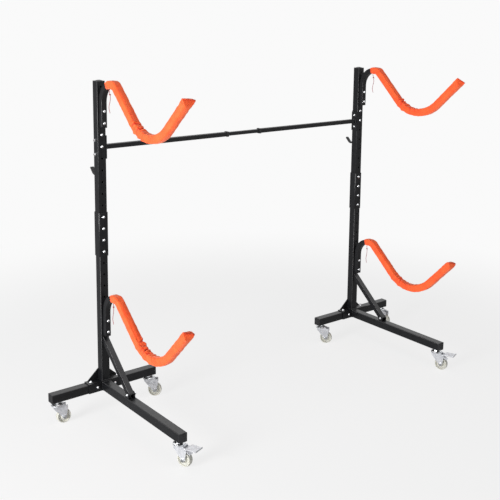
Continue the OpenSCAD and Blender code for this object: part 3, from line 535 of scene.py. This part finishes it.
def makeArm(side, level):
    own = armSettings
    bore = own["tube"] - own["rim"]
    rows = walkPath(armStart(level), bareParts(side, level) + coveredParts(side, level), own["step"])
    loop = roundedLoop(own["tube"], own["tube"], own["corner"], own["around"])
    inner = roundedLoop(bore, bore, own["boreCorner"], own["around"])
    rings = [placeRing(rows[0], inner) + [0, own["boreDepth"], 0], placeRing(rows[0], inner)]
    rings += [placeRing(row, loop) for row in rows]
    arm = skinMesh(f"{side}-{level}-arm", [standPoints(r, sides[side]) for r in rings])
    arm.data.materials.append(powderCoat)
    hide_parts(f"{side}_{level}_arm")
    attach(arm, side + "_stand")


for side in sides:
    for level in ("upper", "lower"):
        makeArm(side, level)
print("arms made")

# padded sleeves

sleeveSettings = {
    "size": 0.034, "corner": 0.0062, "flatCorner": 0.48, "step": 0.002, "around": 88,
    "hem": 0.0285, "hemLength": 0.008, "hemEase": 0.045,
    # the lip turned in at the hem: width, corner, the row it reaches to, places in the weave, and its painted
    # shade
    "lip": 0.0256, "lipCorner": 0.003, "lipRow": 6, "lipUv": [-0.016, -0.006], "lipPaintedShade": 0.5,
    # small pleats at the hem: how far they reach, their count, depth and unevenness
    "gatherStart": 0.004, "gatherReach": 0.016, "pleats": 15, "pleatDepth": 0.0012, "pleatDrift": 1.3,
    "loose": 0.005, "looseReach": 0.08,
    # the sewn tip: gap before it, length, thickness, and how quickly it flattens
    "tipGap": 0.001, "tip": 0.02, "tipThin": 0.0035, "tipCurve": 1.8,
    # width of each flat tip, and degrees that it has twisted about the arm
    "tips": {
        ("left", "upper"): (0.053, 11), ("left", "lower"): (0.046, 20),
        ("right", "upper"): (0.042, 48), ("right", "lower"): (0.045, 16),
    },
    # puckers across the tip: count, depth, and the shares of the tip where they grow and fade
    "puckers": 9, "puckerDepth": 0.0007, "puckerGrow": 0.5, "puckerFade": (0.75, 0.25),
    # length of the weave round the sleeve, against a circle of its size
    "clothRound": 1.08,
    # furthest that the simulation may move the cloth
    "cap": 0.006,
    # painted shade in the cloth's folds: the depth where it starts and how much more is full, and where it
    # ends on the tip;
    # how dark the tip's seam is, its start and how much further is full
    "foldStart": 0.0003, "foldFull": 0.0016, "foldSteps": (2, 4, 6), "foldTip": 0.3,
    "seamShade": 0.6, "seamStart": 0.82, "seamFull": 0.12,
}
creaseSettings = {
    # how many, their middle and spread past the start of the cradle bend, depth, width, and the face they cut
    "groups": [
        (4, 0.045, 0.03, 0.0042, 0.0042, 1), (3, 0.125, 0.03, 0.0018, 0.005, 1),
        (3, -0.2, 0.012, 0.0014, 0.004, -1), (4, -0.1, 0.06, 0.0008, 0.011, 1),
        (4, 0.36, 0.07, 0.0009, 0.011, -1),
    ],
    "seedShift": 100, "slant": 0.5, "bow": 9, "centre": 0.7, "reach": (0.6, 1.5), "strength": (0.5, 1.1),
    # where on the sides a crease ends, and the banks beside its valley
    "faceStart": 0.35, "faceFull": 0.9, "bankHeight": 0.55, "bankPlace": 2.4, "bankWidth": 1.5,
}
clothSettings = {
    "step": 0.0036, "around": 44, "frames": 24, "scale": 10.0,
    "core": 0.0306, "coreCorner": 0.004, "coreAround": 32, "gap": 0.004, "friction": 3,
    "quality": 5, "mass": 0.1, "stretch": 80.0, "shear": 20.0, "bend": 0.14, "damping": 0.1, "pressure": 0.6,
    # held still: the hem up to this length, and the tip past this share
    "heldHem": 0.01, "heldTip": 0.3,
    # waves that the folds grow from: count, lengths, slants, divisor of each wave's height,
    # and their heights without and with spare cloth
    "waves": 40, "waveLength": (0.024, 0.05), "waveSlant": (-3, 4), "waveShare": 6,
    "ripple": 0.00025, "bunchRipple": 0.006,
    # spare cloth: share of extra length, place past the start of the cradle bend, and spread
    "bunches": [(0.45, 0.045, 0.032), (0.2, 0.125, 0.03), (0.12, -0.2, 0.02)], "everywhere": 0.005,
    "smoothings": 2,
}
sleeveSeeds = {("left", "upper"): 11, ("left", "lower"): 12, ("right", "upper"): 13, ("right", "lower"): 14}


def sleeveStart(side, level):
    return walkPath(armStart(level), bareParts(side, level), 0.01)[-1]


def sleeveShape(side, level, step):
    # rows along the covered part, the thickness and width of the sleeve there, and the share of the tip
    own = sleeveSettings
    start = sleeveStart(side, level)
    rows = walkPath([start[0], start[1], math.degrees(start[2])], coveredParts(side, level), step)
    end = rows[-1]
    tipRows, steps = [], max(8, round(own["tip"] / step))
    for k in range(1, steps + 1):
        along = own["tipGap"] + own["tip"] * k / steps
        ahead, up = along * math.cos(end[2]), along * math.sin(end[2])
        tipRows.append((end[0] + ahead, end[1] + up, end[2], end[3] + along))
    rows = np.concatenate([rows, np.array(tipRows)])
    s = rows[:, 3]
    body = own["hem"] + (own["size"] - own["hem"]) * smoothStep((s - own["hemLength"]) / own["hemEase"])
    share = np.clip((s - end[3] - own["tipGap"]) / own["tip"], 0, 1)
    flat = share ** own["tipCurve"]
    thick = body * (1 - flat) + own["tipThin"] * flat
    loose = own["loose"] * smoothStep((s - end[3]) / own["looseReach"] + 1)
    wide = body + loose + (own["tips"][side, level][0] - own["size"] - loose) * smoothStep(share)
    return rows, thick, wide, share


def sleeveLoop(thick, wide, around):
    own = sleeveSettings
    corner = min(own["corner"] * min(thick, wide) / own["size"], thick * own["flatCorner"])
    return roundedLoop(thick, wide, corner, around)


def sleeveRings(side, level, step, around):
    rows, thick, wide, share = sleeveShape(side, level, step)
    loops = [sleeveLoop(t, w, around) for t, w in zip(thick, wide)]
    twists = np.radians(sleeveSettings["tips"][side, level][1]) * smoothStep(share)
    turned = [loop @ np.array([[math.cos(a), -math.sin(a)], [math.sin(a), math.cos(a)]])
              for loop, a in zip(loops, twists)]
    rings = np.array([standPoints(placeRing(row, loop), sides[side]) for row, loop in zip(rows, turned)])
    outward = rings - rings.mean(1)[:, None]
    outward /= np.linalg.norm(outward, axis=2)[:, :, None]
    return rows, share, loops, rings, outward


def bendPlace(side, level):
    # length from the hem to the start of the cradle bend
    own = armSettings
    neck = own["neckRadius"] * math.radians(coveredNeck(side, level))
    return neck + own["shoulder"] + own["shoulderRadius"] * math.radians(own["fallAngle"]) + own["fall"]


def bunchAlong(side, level, s):
    # share of spare cloth at each place along the sleeve
    total = np.full(len(s), clothSettings["everywhere"])
    for extra, place, spread in clothSettings["bunches"]:
        total += extra * np.exp(-((s - bendPlace(side, level) - place) / spread) ** 2)
    return total


def rippleStart(side, level, s, rings, outward):
    # slight waves that the folds grow from, strongest where the cloth is bunched
    own = clothSettings
    chance = np.random.default_rng(sleeveSeeds[side, level])
    around = rings.shape[1]
    turn = np.arange(around)[None, :] / around * 2 * math.pi
    waves = np.zeros(rings.shape[:2])
    for _ in range(own["waves"]):
        length = chance.uniform(*own["waveLength"])
        slant = chance.integers(*own["waveSlant"])
        phase = chance.uniform(0, 2 * math.pi)
        waves += np.sin(2 * math.pi * s[:, None] / length + slant * turn + phase) / own["waveShare"]
    height = own["ripple"] + own["bunchRipple"] * bunchAlong(side, level, s)
    return outward * (waves * height[:, None])[:, :, None]


def settleCloth(side, level):
    # cloth over a foam core: its rest shape is a straight tube with spare length,
    # so it folds inside the bends
    own = clothSettings
    around = own["around"]
    rows, share, loops, rings, outward = sleeveRings(side, level, own["step"], around)
    s = rows[:, 3]
    spare = bunchAlong(side, level, s)
    restPlace = s + np.concatenate([[0], np.cumsum(np.diff(s) * (spare[1:] + spare[:-1]) / 2)])
    rest = np.array([np.stack([np.full(around, place), loop[:, 1], loop[:, 0]], 1)
                     for place, loop in zip(restPlace, loops)]) * own["scale"]
    centre = rings.mean((0, 1))
    start = (rings + rippleStart(side, level, s, rings, outward) - centre) * own["scale"]
    cloth = skinMesh("cloth", list(start), False, False)
    cloth.shape_key_add(name="Basis")
    flat = cloth.shape_key_add(name="flat")
    flat.data.foreach_set("co", rest.astype(np.float32).ravel())
    held = cloth.vertex_groups.new(name="held")
    for i in range(len(rows)):
        if s[i] < own["heldHem"] or share[i] > own["heldTip"]:
            held.add(list(range(i * around, (i + 1) * around)), 1.0, "REPLACE")
    loop = roundedLoop(own["core"], own["core"], own["coreCorner"], own["coreAround"])
    coreRings = [standPoints(placeRing(row, loop), sides[side]) for row in rows[share == 0]]
    core = skinMesh("foamCore", [(ring - centre) * own["scale"] for ring in coreRings])
    core.modifiers.new("solid", "COLLISION")
    core.collision.thickness_outer = own["gap"]
    core.collision.cloth_friction = own["friction"]
    sim = cloth.modifiers.new("cloth", "CLOTH")
    how = sim.settings
    how.quality, how.mass = own["quality"], own["mass"]
    how.tension_stiffness = how.compression_stiffness = own["stretch"]
    how.shear_stiffness, how.bending_stiffness = own["shear"], own["bend"]
    how.bending_damping = own["damping"]
    how.use_pressure, how.uniform_pressure_force = True, own["pressure"]
    how.vertex_group_mass, how.rest_shape_key = "held", flat
    how.effector_weights.gravity = 0
    sim.collision_settings.distance_min = own["gap"]
    sim.collision_settings.use_self_collision = False
    sim.point_cache.frame_start, sim.point_cache.frame_end = 1, own["frames"] + 1
    for step in range(1, own["frames"] + 1):
        scene.frame_set(step)
    settled = cloth.evaluated_get(bpy.context.evaluated_depsgraph_get())
    found = np.zeros(rings.size, np.float32)
    settled.data.vertices.foreach_get("co", found)
    found = found.reshape(rings.shape) / own["scale"] + centre
    scene.frame_set(1)
    bpy.data.objects.remove(core)
    bpy.data.objects.remove(cloth)
    return s, found - rings


def spreadMoves(s, moves, fineS, around):
    # the simulated moves, on the finer grid of the sleeve
    coarse = moves.shape[1]
    along = np.empty((len(fineS), coarse, 3))
    for k in range(coarse):
        for axis in range(3):
            along[:, k, axis] = np.interp(fineS, s, moves[:, k, axis])
    place = np.arange(around) / around * coarse
    low = np.floor(place).astype(int)
    part = (place - low)[None, :, None]
    fine = along[:, low % coarse] * (1 - part) + along[:, (low + 1) % coarse] * part
    for _ in range(clothSettings["smoothings"]):
        fine = (np.roll(fine, 1, 1) + 2 * fine + np.roll(fine, -1, 1)) / 4
        fine[1:-1] = (fine[:-2] + 2 * fine[1:-1] + fine[2:]) / 4
    return fine


def creaseHeight(side, level, s, loops):
    # sharp valleys with soft banks, on the face that a bend squeezes
    own = creaseSettings
    chance = np.random.default_rng(sleeveSeeds[side, level] + own["seedShift"])
    n = np.array([loop[:, 0] for loop in loops])
    w = np.array([loop[:, 1] for loop in loops])
    half = sleeveSettings["size"] / 2
    height = np.zeros(n.shape)
    for count, middle, spread, depth, width, face in own["groups"]:
        for _ in range(count):
            place = bendPlace(side, level) + middle + chance.uniform(-1, 1) * spread
            slant = chance.uniform(-own["slant"], own["slant"])
            bow = chance.uniform(-own["bow"], own["bow"])
            centre = chance.uniform(-own["centre"], own["centre"]) * half
            reach = chance.uniform(*own["reach"]) * half
            strength = depth * chance.uniform(*own["strength"])
            off = s[:, None] - place - slant * w - bow * w ** 2
            onFace = smoothStep((face * n / half + own["faceStart"]) / own["faceFull"])
            window = onFace * np.exp(-((w - centre) / reach) ** 2)
            valley = -np.exp(-(off / width) ** 2)
            beside = (np.abs(off) - own["bankPlace"] * width) / (own["bankWidth"] * width)
            height += strength * window * (valley + own["bankHeight"] * np.exp(-beside ** 2))
    return height


def foldDepth(grid, outward):
    # how far each point lies below its neighbours along the sleeve
    depth = np.zeros(grid.shape[:2])
    steps = sleeveSettings["foldSteps"]
    for step in steps:
        before = np.concatenate([grid[:1].repeat(step, 0), grid[:-step]])
        after = np.concatenate([grid[step:], grid[-1:].repeat(step, 0)])
        depth += (((before + after) / 2 - grid) * outward).sum(2) / len(steps)
    return depth


def drawnHeight(side, level, s, share, loops):
    # pleats at the hem, creases along the sleeve and puckers across the tip
    own = sleeveSettings
    seed = sleeveSeeds[side, level]
    turn = np.arange(own["around"])[None, :] / own["around"] * 2 * math.pi
    gather = (1 - smoothStep((s - own["gatherStart"]) / own["gatherReach"]))[:, None]
    drift = own["pleatDrift"] * np.sin(2 * turn + seed)
    height = own["pleatDepth"] * gather * np.sin(own["pleats"] * turn + drift)
    height += creaseHeight(side, level, s, loops) * (share == 0)[:, None] * (1 - gather)
    fadeStart, fadeReach = own["puckerFade"]
    pucker = smoothStep(share / own["puckerGrow"]) * (1 - smoothStep((share - fadeStart) / fadeReach))
    sideways = np.array([loop[:, 1] for loop in loops]) / own["tips"][side, level][0]
    height += own["puckerDepth"] * pucker[:, None] * np.sin(2 * math.pi * own["puckers"] * sideways + seed)
    return height


def foldShade(grid, outward, share):
    # how dark the cloth is painted: painted shade in its folds, and the darker seam along the tip
    own = sleeveSettings
    folded = np.clip((foldDepth(grid, outward) - own["foldStart"]) / own["foldFull"], 0, 1)
    shade = folded * (1 - smoothStep(share / own["foldTip"]))[:, None]
    seam = own["seamShade"] * smoothStep((share - own["seamStart"]) / own["seamFull"])
    return np.maximum(shade, seam[:, None])


def makeSleeve(side, level):
    own = sleeveSettings
    around = own["around"]
    rows, share, loops, rings, outward = sleeveRings(side, level, own["step"], around)
    s = rows[:, 3]
    moves = spreadMoves(*settleCloth(side, level), s, around)
    far = np.linalg.norm(moves, axis=2)
    moves *= np.minimum(1, own["cap"] / np.maximum(far, 1e-9))[:, :, None]
    grid = rings + moves + outward * drawnHeight(side, level, s, share, loops)[:, :, None]
    lip = roundedLoop(own["lip"], own["lip"], own["lipCorner"], around)
    inside = [standPoints(placeRing(rows[i], lip), sides[side]) for i in (own["lipRow"], 0)]
    clothRound = math.pi * own["size"] * own["clothRound"]
    uvAround = [k / around * clothRound for k in range(around + 1)]
    rings, uvRows = inside + list(grid), own["lipUv"] + list(s)
    sleeve = skinMesh(f"{side}-{level}-sleeve", rings, False, True, uvRows, uvAround)
    # painted shade in the folds and on the lip inside the hem, and the darker seam of the tip
    paintedShadeAndSeam = sleeve.data.attributes.new("paintedShadeAndSeam", "FLOAT", "POINT")
    shade = [np.full(2 * around, own["lipPaintedShade"]), foldShade(grid, outward, share).ravel()]
    paintedShadeAndSeam.data.foreach_set("value", np.concatenate(shade).astype(np.float32))
    sleeve.data.materials.append(sleeveNylon)
    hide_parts(f"{side}_{level}_pad")
    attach(sleeve, side + "_stand")


for side in sides:
    for level in ("upper", "lower"):
        makeSleeve(side, level)
    print(side, "sleeves settled")

# drawcords

cordSettings = {
    "thickness": 0.0024, "spacing": 0.0012, "sides": 12,
    # strands, the length of a full twist, how far they bulge, and how each end is pinched
    "strands": 3, "twist": 0.009, "lobe": 0.13, "mean": 0.93, "endShare": 0.45, "endLength": 0.001,
    # forward, sideways and down from the hem, in millimetres
    "route": [
        (0, 0, 0), (2, 1, 6), (4, 2, 13), (5, 2, 19), (6, 3, 22), (7, 3, 25), (7, 3, 30), (8, 4, 38),
        (8, 5, 47), (7, 6, 56), (6, 7, 65), (5, 7, 74), (5, 6, 83), (6, 5, 91), (7, 5, 98),
    ],
    # how many times as far forward each one hangs
    "lean": {
        ("left", "upper"): 2.4, ("left", "lower"): 1, ("right", "upper"): 1.8, ("right", "lower"): 1,
    },
    # where the route leaves the hem: distance inside its underside, and degrees back round the neck
    "exitInset": 0.001, "exitTurn": 5,
}
# the knot winds twice round a point of the route, in and out and up and down
knotSettings = {
    "at": 4, "thickness": 0.0026, "points": 61, "radius": 0.0021, "swell": 0.32, "rise": 0.0017, "waves": 1.5,
}


def cordRoute(side, level):
    own = cordSettings
    start = sleeveStart(side, level)
    drop = sleeveSettings["hem"] / 2 - own["exitInset"]
    turned = start[2] - math.radians(own["exitTurn"])
    exitPoint = np.array([start[0] + drop * math.sin(turned), start[1] - drop * math.cos(turned), 0.0])
    lean = own["lean"][side, level]
    local = [exitPoint + np.array([f * lean, -down, across]) * 0.001 for f, across, down in own["route"]]
    return standPoints(np.array(local), sides[side])


def smoothRoute(points, spacing):
    # even points on a smooth curve through the given ones
    gone = lengthsAlong(points)
    slopes = np.gradient(points, gone, axis=0)
    wanted = np.linspace(0, gone[-1], max(8, round(gone[-1] / spacing)))
    found = []
    for at in wanted:
        i = min(max(int(np.searchsorted(gone, at)) - 1, 0), len(points) - 2)
        run = gone[i + 1] - gone[i]
        t = (at - gone[i]) / run
        found.append((2 * t**3 - 3 * t**2 + 1) * points[i] + (t**3 - 2 * t**2 + t) * run * slopes[i]
                     + (3 * t**2 - 2 * t**3) * points[i + 1] + (t**3 - t**2) * run * slopes[i + 1])
    return np.array(found)


def cordMesh(name, line, thickness):
    # three twisted strands as one lobed skin
    own = cordSettings
    rings = []
    gone = lengthsAlong(line)
    across = Vector((1, 0, 0))
    for i, point in enumerate(line):
        along = Vector(line[min(i + 1, len(line) - 1)] - line[max(i - 1, 0)]).normalized()
        across = (across - along * across.dot(along)).normalized()
        other = along.cross(across)
        toEnd = min(gone[i], gone[-1] - gone[i])
        end = min(1.0, own["endShare"] + toEnd / own["endLength"])
        ring = []
        for k in range(own["sides"]):
            a = 2 * math.pi * k / own["sides"]
            lobe = 1 + own["lobe"] * math.cos(own["strands"] * (a + 2 * math.pi * gone[i] / own["twist"]))
            r = thickness / 2 * own["mean"] * lobe * end
            ring.append(list(Vector(point) + (across * math.cos(a) + other * math.sin(a)) * r))
        rings.append(np.array(ring))
    piece = skinMesh(name, rings)
    piece.data.materials.append(cordBraid)
    return piece


def knotLine(middle):
    own = knotSettings
    turns = []
    for k in range(own["points"]):
        a = 4 * math.pi * k / (own["points"] - 1)
        r = own["radius"] * (1 + own["swell"] * math.cos(own["waves"] * a))
        up = own["rise"] * math.sin(own["waves"] * a)
        turns.append(middle + np.array([r * math.cos(a), r * math.sin(a), up]))
    return np.array(turns)


def makeCord(side, level):
    own = cordSettings
    route = cordRoute(side, level)
    line = smoothRoute(route, own["spacing"])
    cordPiece = cordMesh(f"{side}-{level}-drawcord", line, own["thickness"])
    knot = cordMesh(f"{side}-{level}-knot", knotLine(route[knotSettings["at"]]), knotSettings["thickness"])
    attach(knot, side + "_stand")
    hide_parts(f"{side}_{level}_cord")
    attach(cordPiece, side + "_stand")


for side in sides:
    for level in ("upper", "lower"):
        makeCord(side, level)
print("drawcords made")

# paddle hooks

hookSettings = {
    "wide": 0.018, "thick": 0.007, "corner": 0.0032, "around": 48, "step": 0.003,
    "boltZ": 1.218, "aboveBolt": 0.018, "belowBolt": 0.106, "radius": 0.018, "turn": 135, "tip": 0.026,
    # how the coating rounds off an end: distance past the end and share of the thickness
    "ends": [(0.0032, 0.3), (0.0026, 0.62), (0.0015, 0.86)],
}


def hookRing(row, along, size):
    own = hookSettings
    wide = own["wide"] - own["thick"] * (1 - size)
    loop = roundedLoop(own["thick"] * size, wide, own["corner"] * size, own["around"])
    return placeRing([row[0] + along * math.cos(row[2]), row[1] + along * math.sin(row[2]), row[2]], loop)


def makeHook(side):
    own = hookSettings
    start = [-(rack["halfTube"] + own["thick"] / 2), own["boltZ"] + own["aboveBolt"], -90]
    plate = own["aboveBolt"] + rack["holePitch"] + own["belowBolt"]
    rows = walkPath(start, [(plate, 0, 0), (0, own["radius"], -own["turn"]), (own["tip"], 0, 0)], own["step"])
    # the top is rounded within the plate's length, and the tip past its end
    past = own["ends"][0][0]
    rings = [hookRing(rows[0], past - along, size) for along, size in own["ends"]]
    rings += [hookRing(row, 0, 1) for row in rows[2:]]
    rings += [hookRing(rows[-1], along, size) for along, size in reversed(own["ends"])]
    hook = skinMesh(f"{side}-paddle-hook", [standPoints(r, sides[side]) for r in rings])
    hook.data.materials.append(hookCoating)
    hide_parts(side + "_hook")
    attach(hook, side + "_stand")


for side in sides:
    makeHook(side)
print("hooks made")

# caster wheels

wheelSettings = {
    "radius": 0.031, "width": 0.022, "hub": 0.0125, "bore": 0.00515, "boss": 0.0115, "webDepth": 0.006,
    # how far the tread drops at a share of its half width, and at its side; then the side, hub and rounding
    "crown": 0.0006, "treadShare": 0.55, "edge": 0.0022, "rimInside": 0.0058, "webOutside": 0.0082,
    "bossFoot": 0.0025, "rounding": 0.0022, "roundShare": 0.45, "roundSteps": 5, "segments": 96,
    "trail": 0.0285, "stemAcross": 0.226, "stemAhead": 0.588,
    "headings": {
        "left": {"front": -70, "outer": -8, "inner": -35},
        "right": {"front": -70, "outer": -75, "inner": -50},
    },
}


def casterPlace(side, position):
    own = wheelSettings
    x, y = sides[side] * rack["postX"], rack["postY"]
    if position == "front":
        y -= own["stemAhead"]
    else:
        x += sides[side] * own["stemAcross"] * (1 if position == "outer" else -1)
    return Vector((x, y, 0)), math.radians(own["headings"][side][position])


def roundedProfile(corners, radius, limit, steps):
    # open line through the corners, each inner one rounded off over no more than a share of its sides
    line = [corners[0]]
    for before, corner, after in zip(corners, corners[1:], corners[2:]):
        a, b, c = (Vector(p) for p in (before, corner, after))
        r = min(radius, (a - b).length * limit, (c - b).length * limit)
        first, last = b + (a - b).normalized() * r, b + (c - b).normalized() * r
        for k in range(steps + 1):
            t = k / steps
            line.append(tuple(first * (1 - t) ** 2 + b * 2 * t * (1 - t) + last * t ** 2))
    return line + [corners[-1]]


def spinMesh(name, profile, place, heading, segments):
    # turns (radius, sideways) about the axle, which lies across the caster
    along = Vector((math.cos(heading), math.sin(heading), 0))
    across = Vector((-math.sin(heading), math.cos(heading), 0))
    verts = []
    for k in range(segments):
        a = 2 * math.pi * k / segments
        spoke = along * math.cos(a) + Vector((0, 0, 1)) * math.sin(a)
        verts += [list(place + spoke * r + across * w) for r, w in profile]
    return ringMesh(name, verts, segments, len(profile))


def makeWheel(side, position):
    own = wheelSettings
    stem, heading = casterPlace(side, position)
    back = Vector((math.cos(heading), math.sin(heading), 0)) * own["trail"]
    centre = stem + back + Vector((0, 0, own["radius"]))
    rim, half, web = own["radius"], own["width"] / 2, own["width"] / 2 - own["webDepth"]
    oneSide = [
        (rim - own["crown"], 0.0), (rim - own["crown"], half * own["treadShare"]), (rim - own["edge"], half),
        (rim - own["rimInside"], half), (rim - own["webOutside"], web), (own["boss"] + own["bossFoot"], web),
        (own["boss"], own["hub"]), (own["bore"], own["hub"]),
    ]
    curve = roundedProfile(oneSide, own["rounding"], own["roundShare"], own["roundSteps"])
    curve[0] = (rim, 0.0)
    profile = curve + [(r, -w) for r, w in reversed(curve[1:])]
    wheel = spinMesh(f"{side}-{position}-wheel", profile, centre, heading, own["segments"])
    wheel.data.materials.append(ivoryNylon)
    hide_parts(f"{side}_{position}_wheel")
    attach(wheel, f"{side}_{position}_wheel")


for side in sides:
    for position in ("front", "outer", "inner"):
        makeWheel(side, position)
print("wheels made")

# weld beads under the paint

weldSettings = {
    "radius": 0.0022, "pitch": 0.0028, "ripple": 0.16, "step": 0.0007, "corner": 0.003, "sides": 8,
    # distance of a bead's middle from the joint, and half the width of the crossbar's bead
    "lift": 0.004, "barHalf": 0.01,
}


def makeWeld(name, centre, first, second, body):
    # rippled bead round a rectangle with the given half sizes, as vectors
    own = weldSettings
    a, b = Vector(first), Vector(second)
    corners = [a + b, b - a, -a - b, a - b]
    line = []
    for k in range(4):
        start, corner, after = corners[k - 1], corners[k], corners[(k + 1) % 4]
        inOne = corner + (start - corner).normalized() * own["corner"]
        outOne = corner + (after - corner).normalized() * own["corner"]
        for t in (0, 0.25, 0.5, 0.75, 1):
            line.append(inOne * (1 - t) ** 2 + corner * 2 * t * (1 - t) + outOne * t ** 2)
    line.append(line[0])
    line = np.array([list(Vector(centre) + p) for p in line])
    long = lengthsAlong(line)[-1]
    count, beads = round(long / own["step"]), round(long / own["pitch"])
    points = evenPoints(line, count)
    normal = a.cross(b).normalized()
    verts = []
    for i in range(count):
        along = Vector(points[(i + 1) % count] - points[i - 1]).normalized()
        out = along.cross(normal)
        swell = 1 - own["ripple"] + own["ripple"] * abs(math.sin(math.pi * beads * i / count))
        for k in range(own["sides"]):
            turn = 2 * math.pi * k / own["sides"]
            r = own["radius"] * swell
            verts.append(list(Vector(points[i]) + (out * math.cos(turn) + normal * math.sin(turn)) * r))
    bead = ringMesh(name, verts, count, own["sides"])
    bead.data.materials.append(powderCoat)
    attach(bead, body)


for side, sign in sides.items():
    x, y, half = sign * rack["postX"], rack["postY"], rack["halfTube"]
    lift, barHalf = weldSettings["lift"], weldSettings["barHalf"]
    face = sign * (rack["postGap"] / 2 - lift)
    body = side + "_stand"
    makeWeld(side + "-post-weld", (x, y, rack["baseTop"] + lift), (half, 0, 0), (0, half, 0), body)
    makeWeld(side + "-leg-weld", (x, y - half - lift, rack["baseMid"]), (half, 0, 0), (0, 0, half), body)
    makeWeld(side + "-bar-weld", (face, y, rack["barHeight"]), (0, barHalf, 0), (0, 0, barHalf), body)
print("weld beads made")
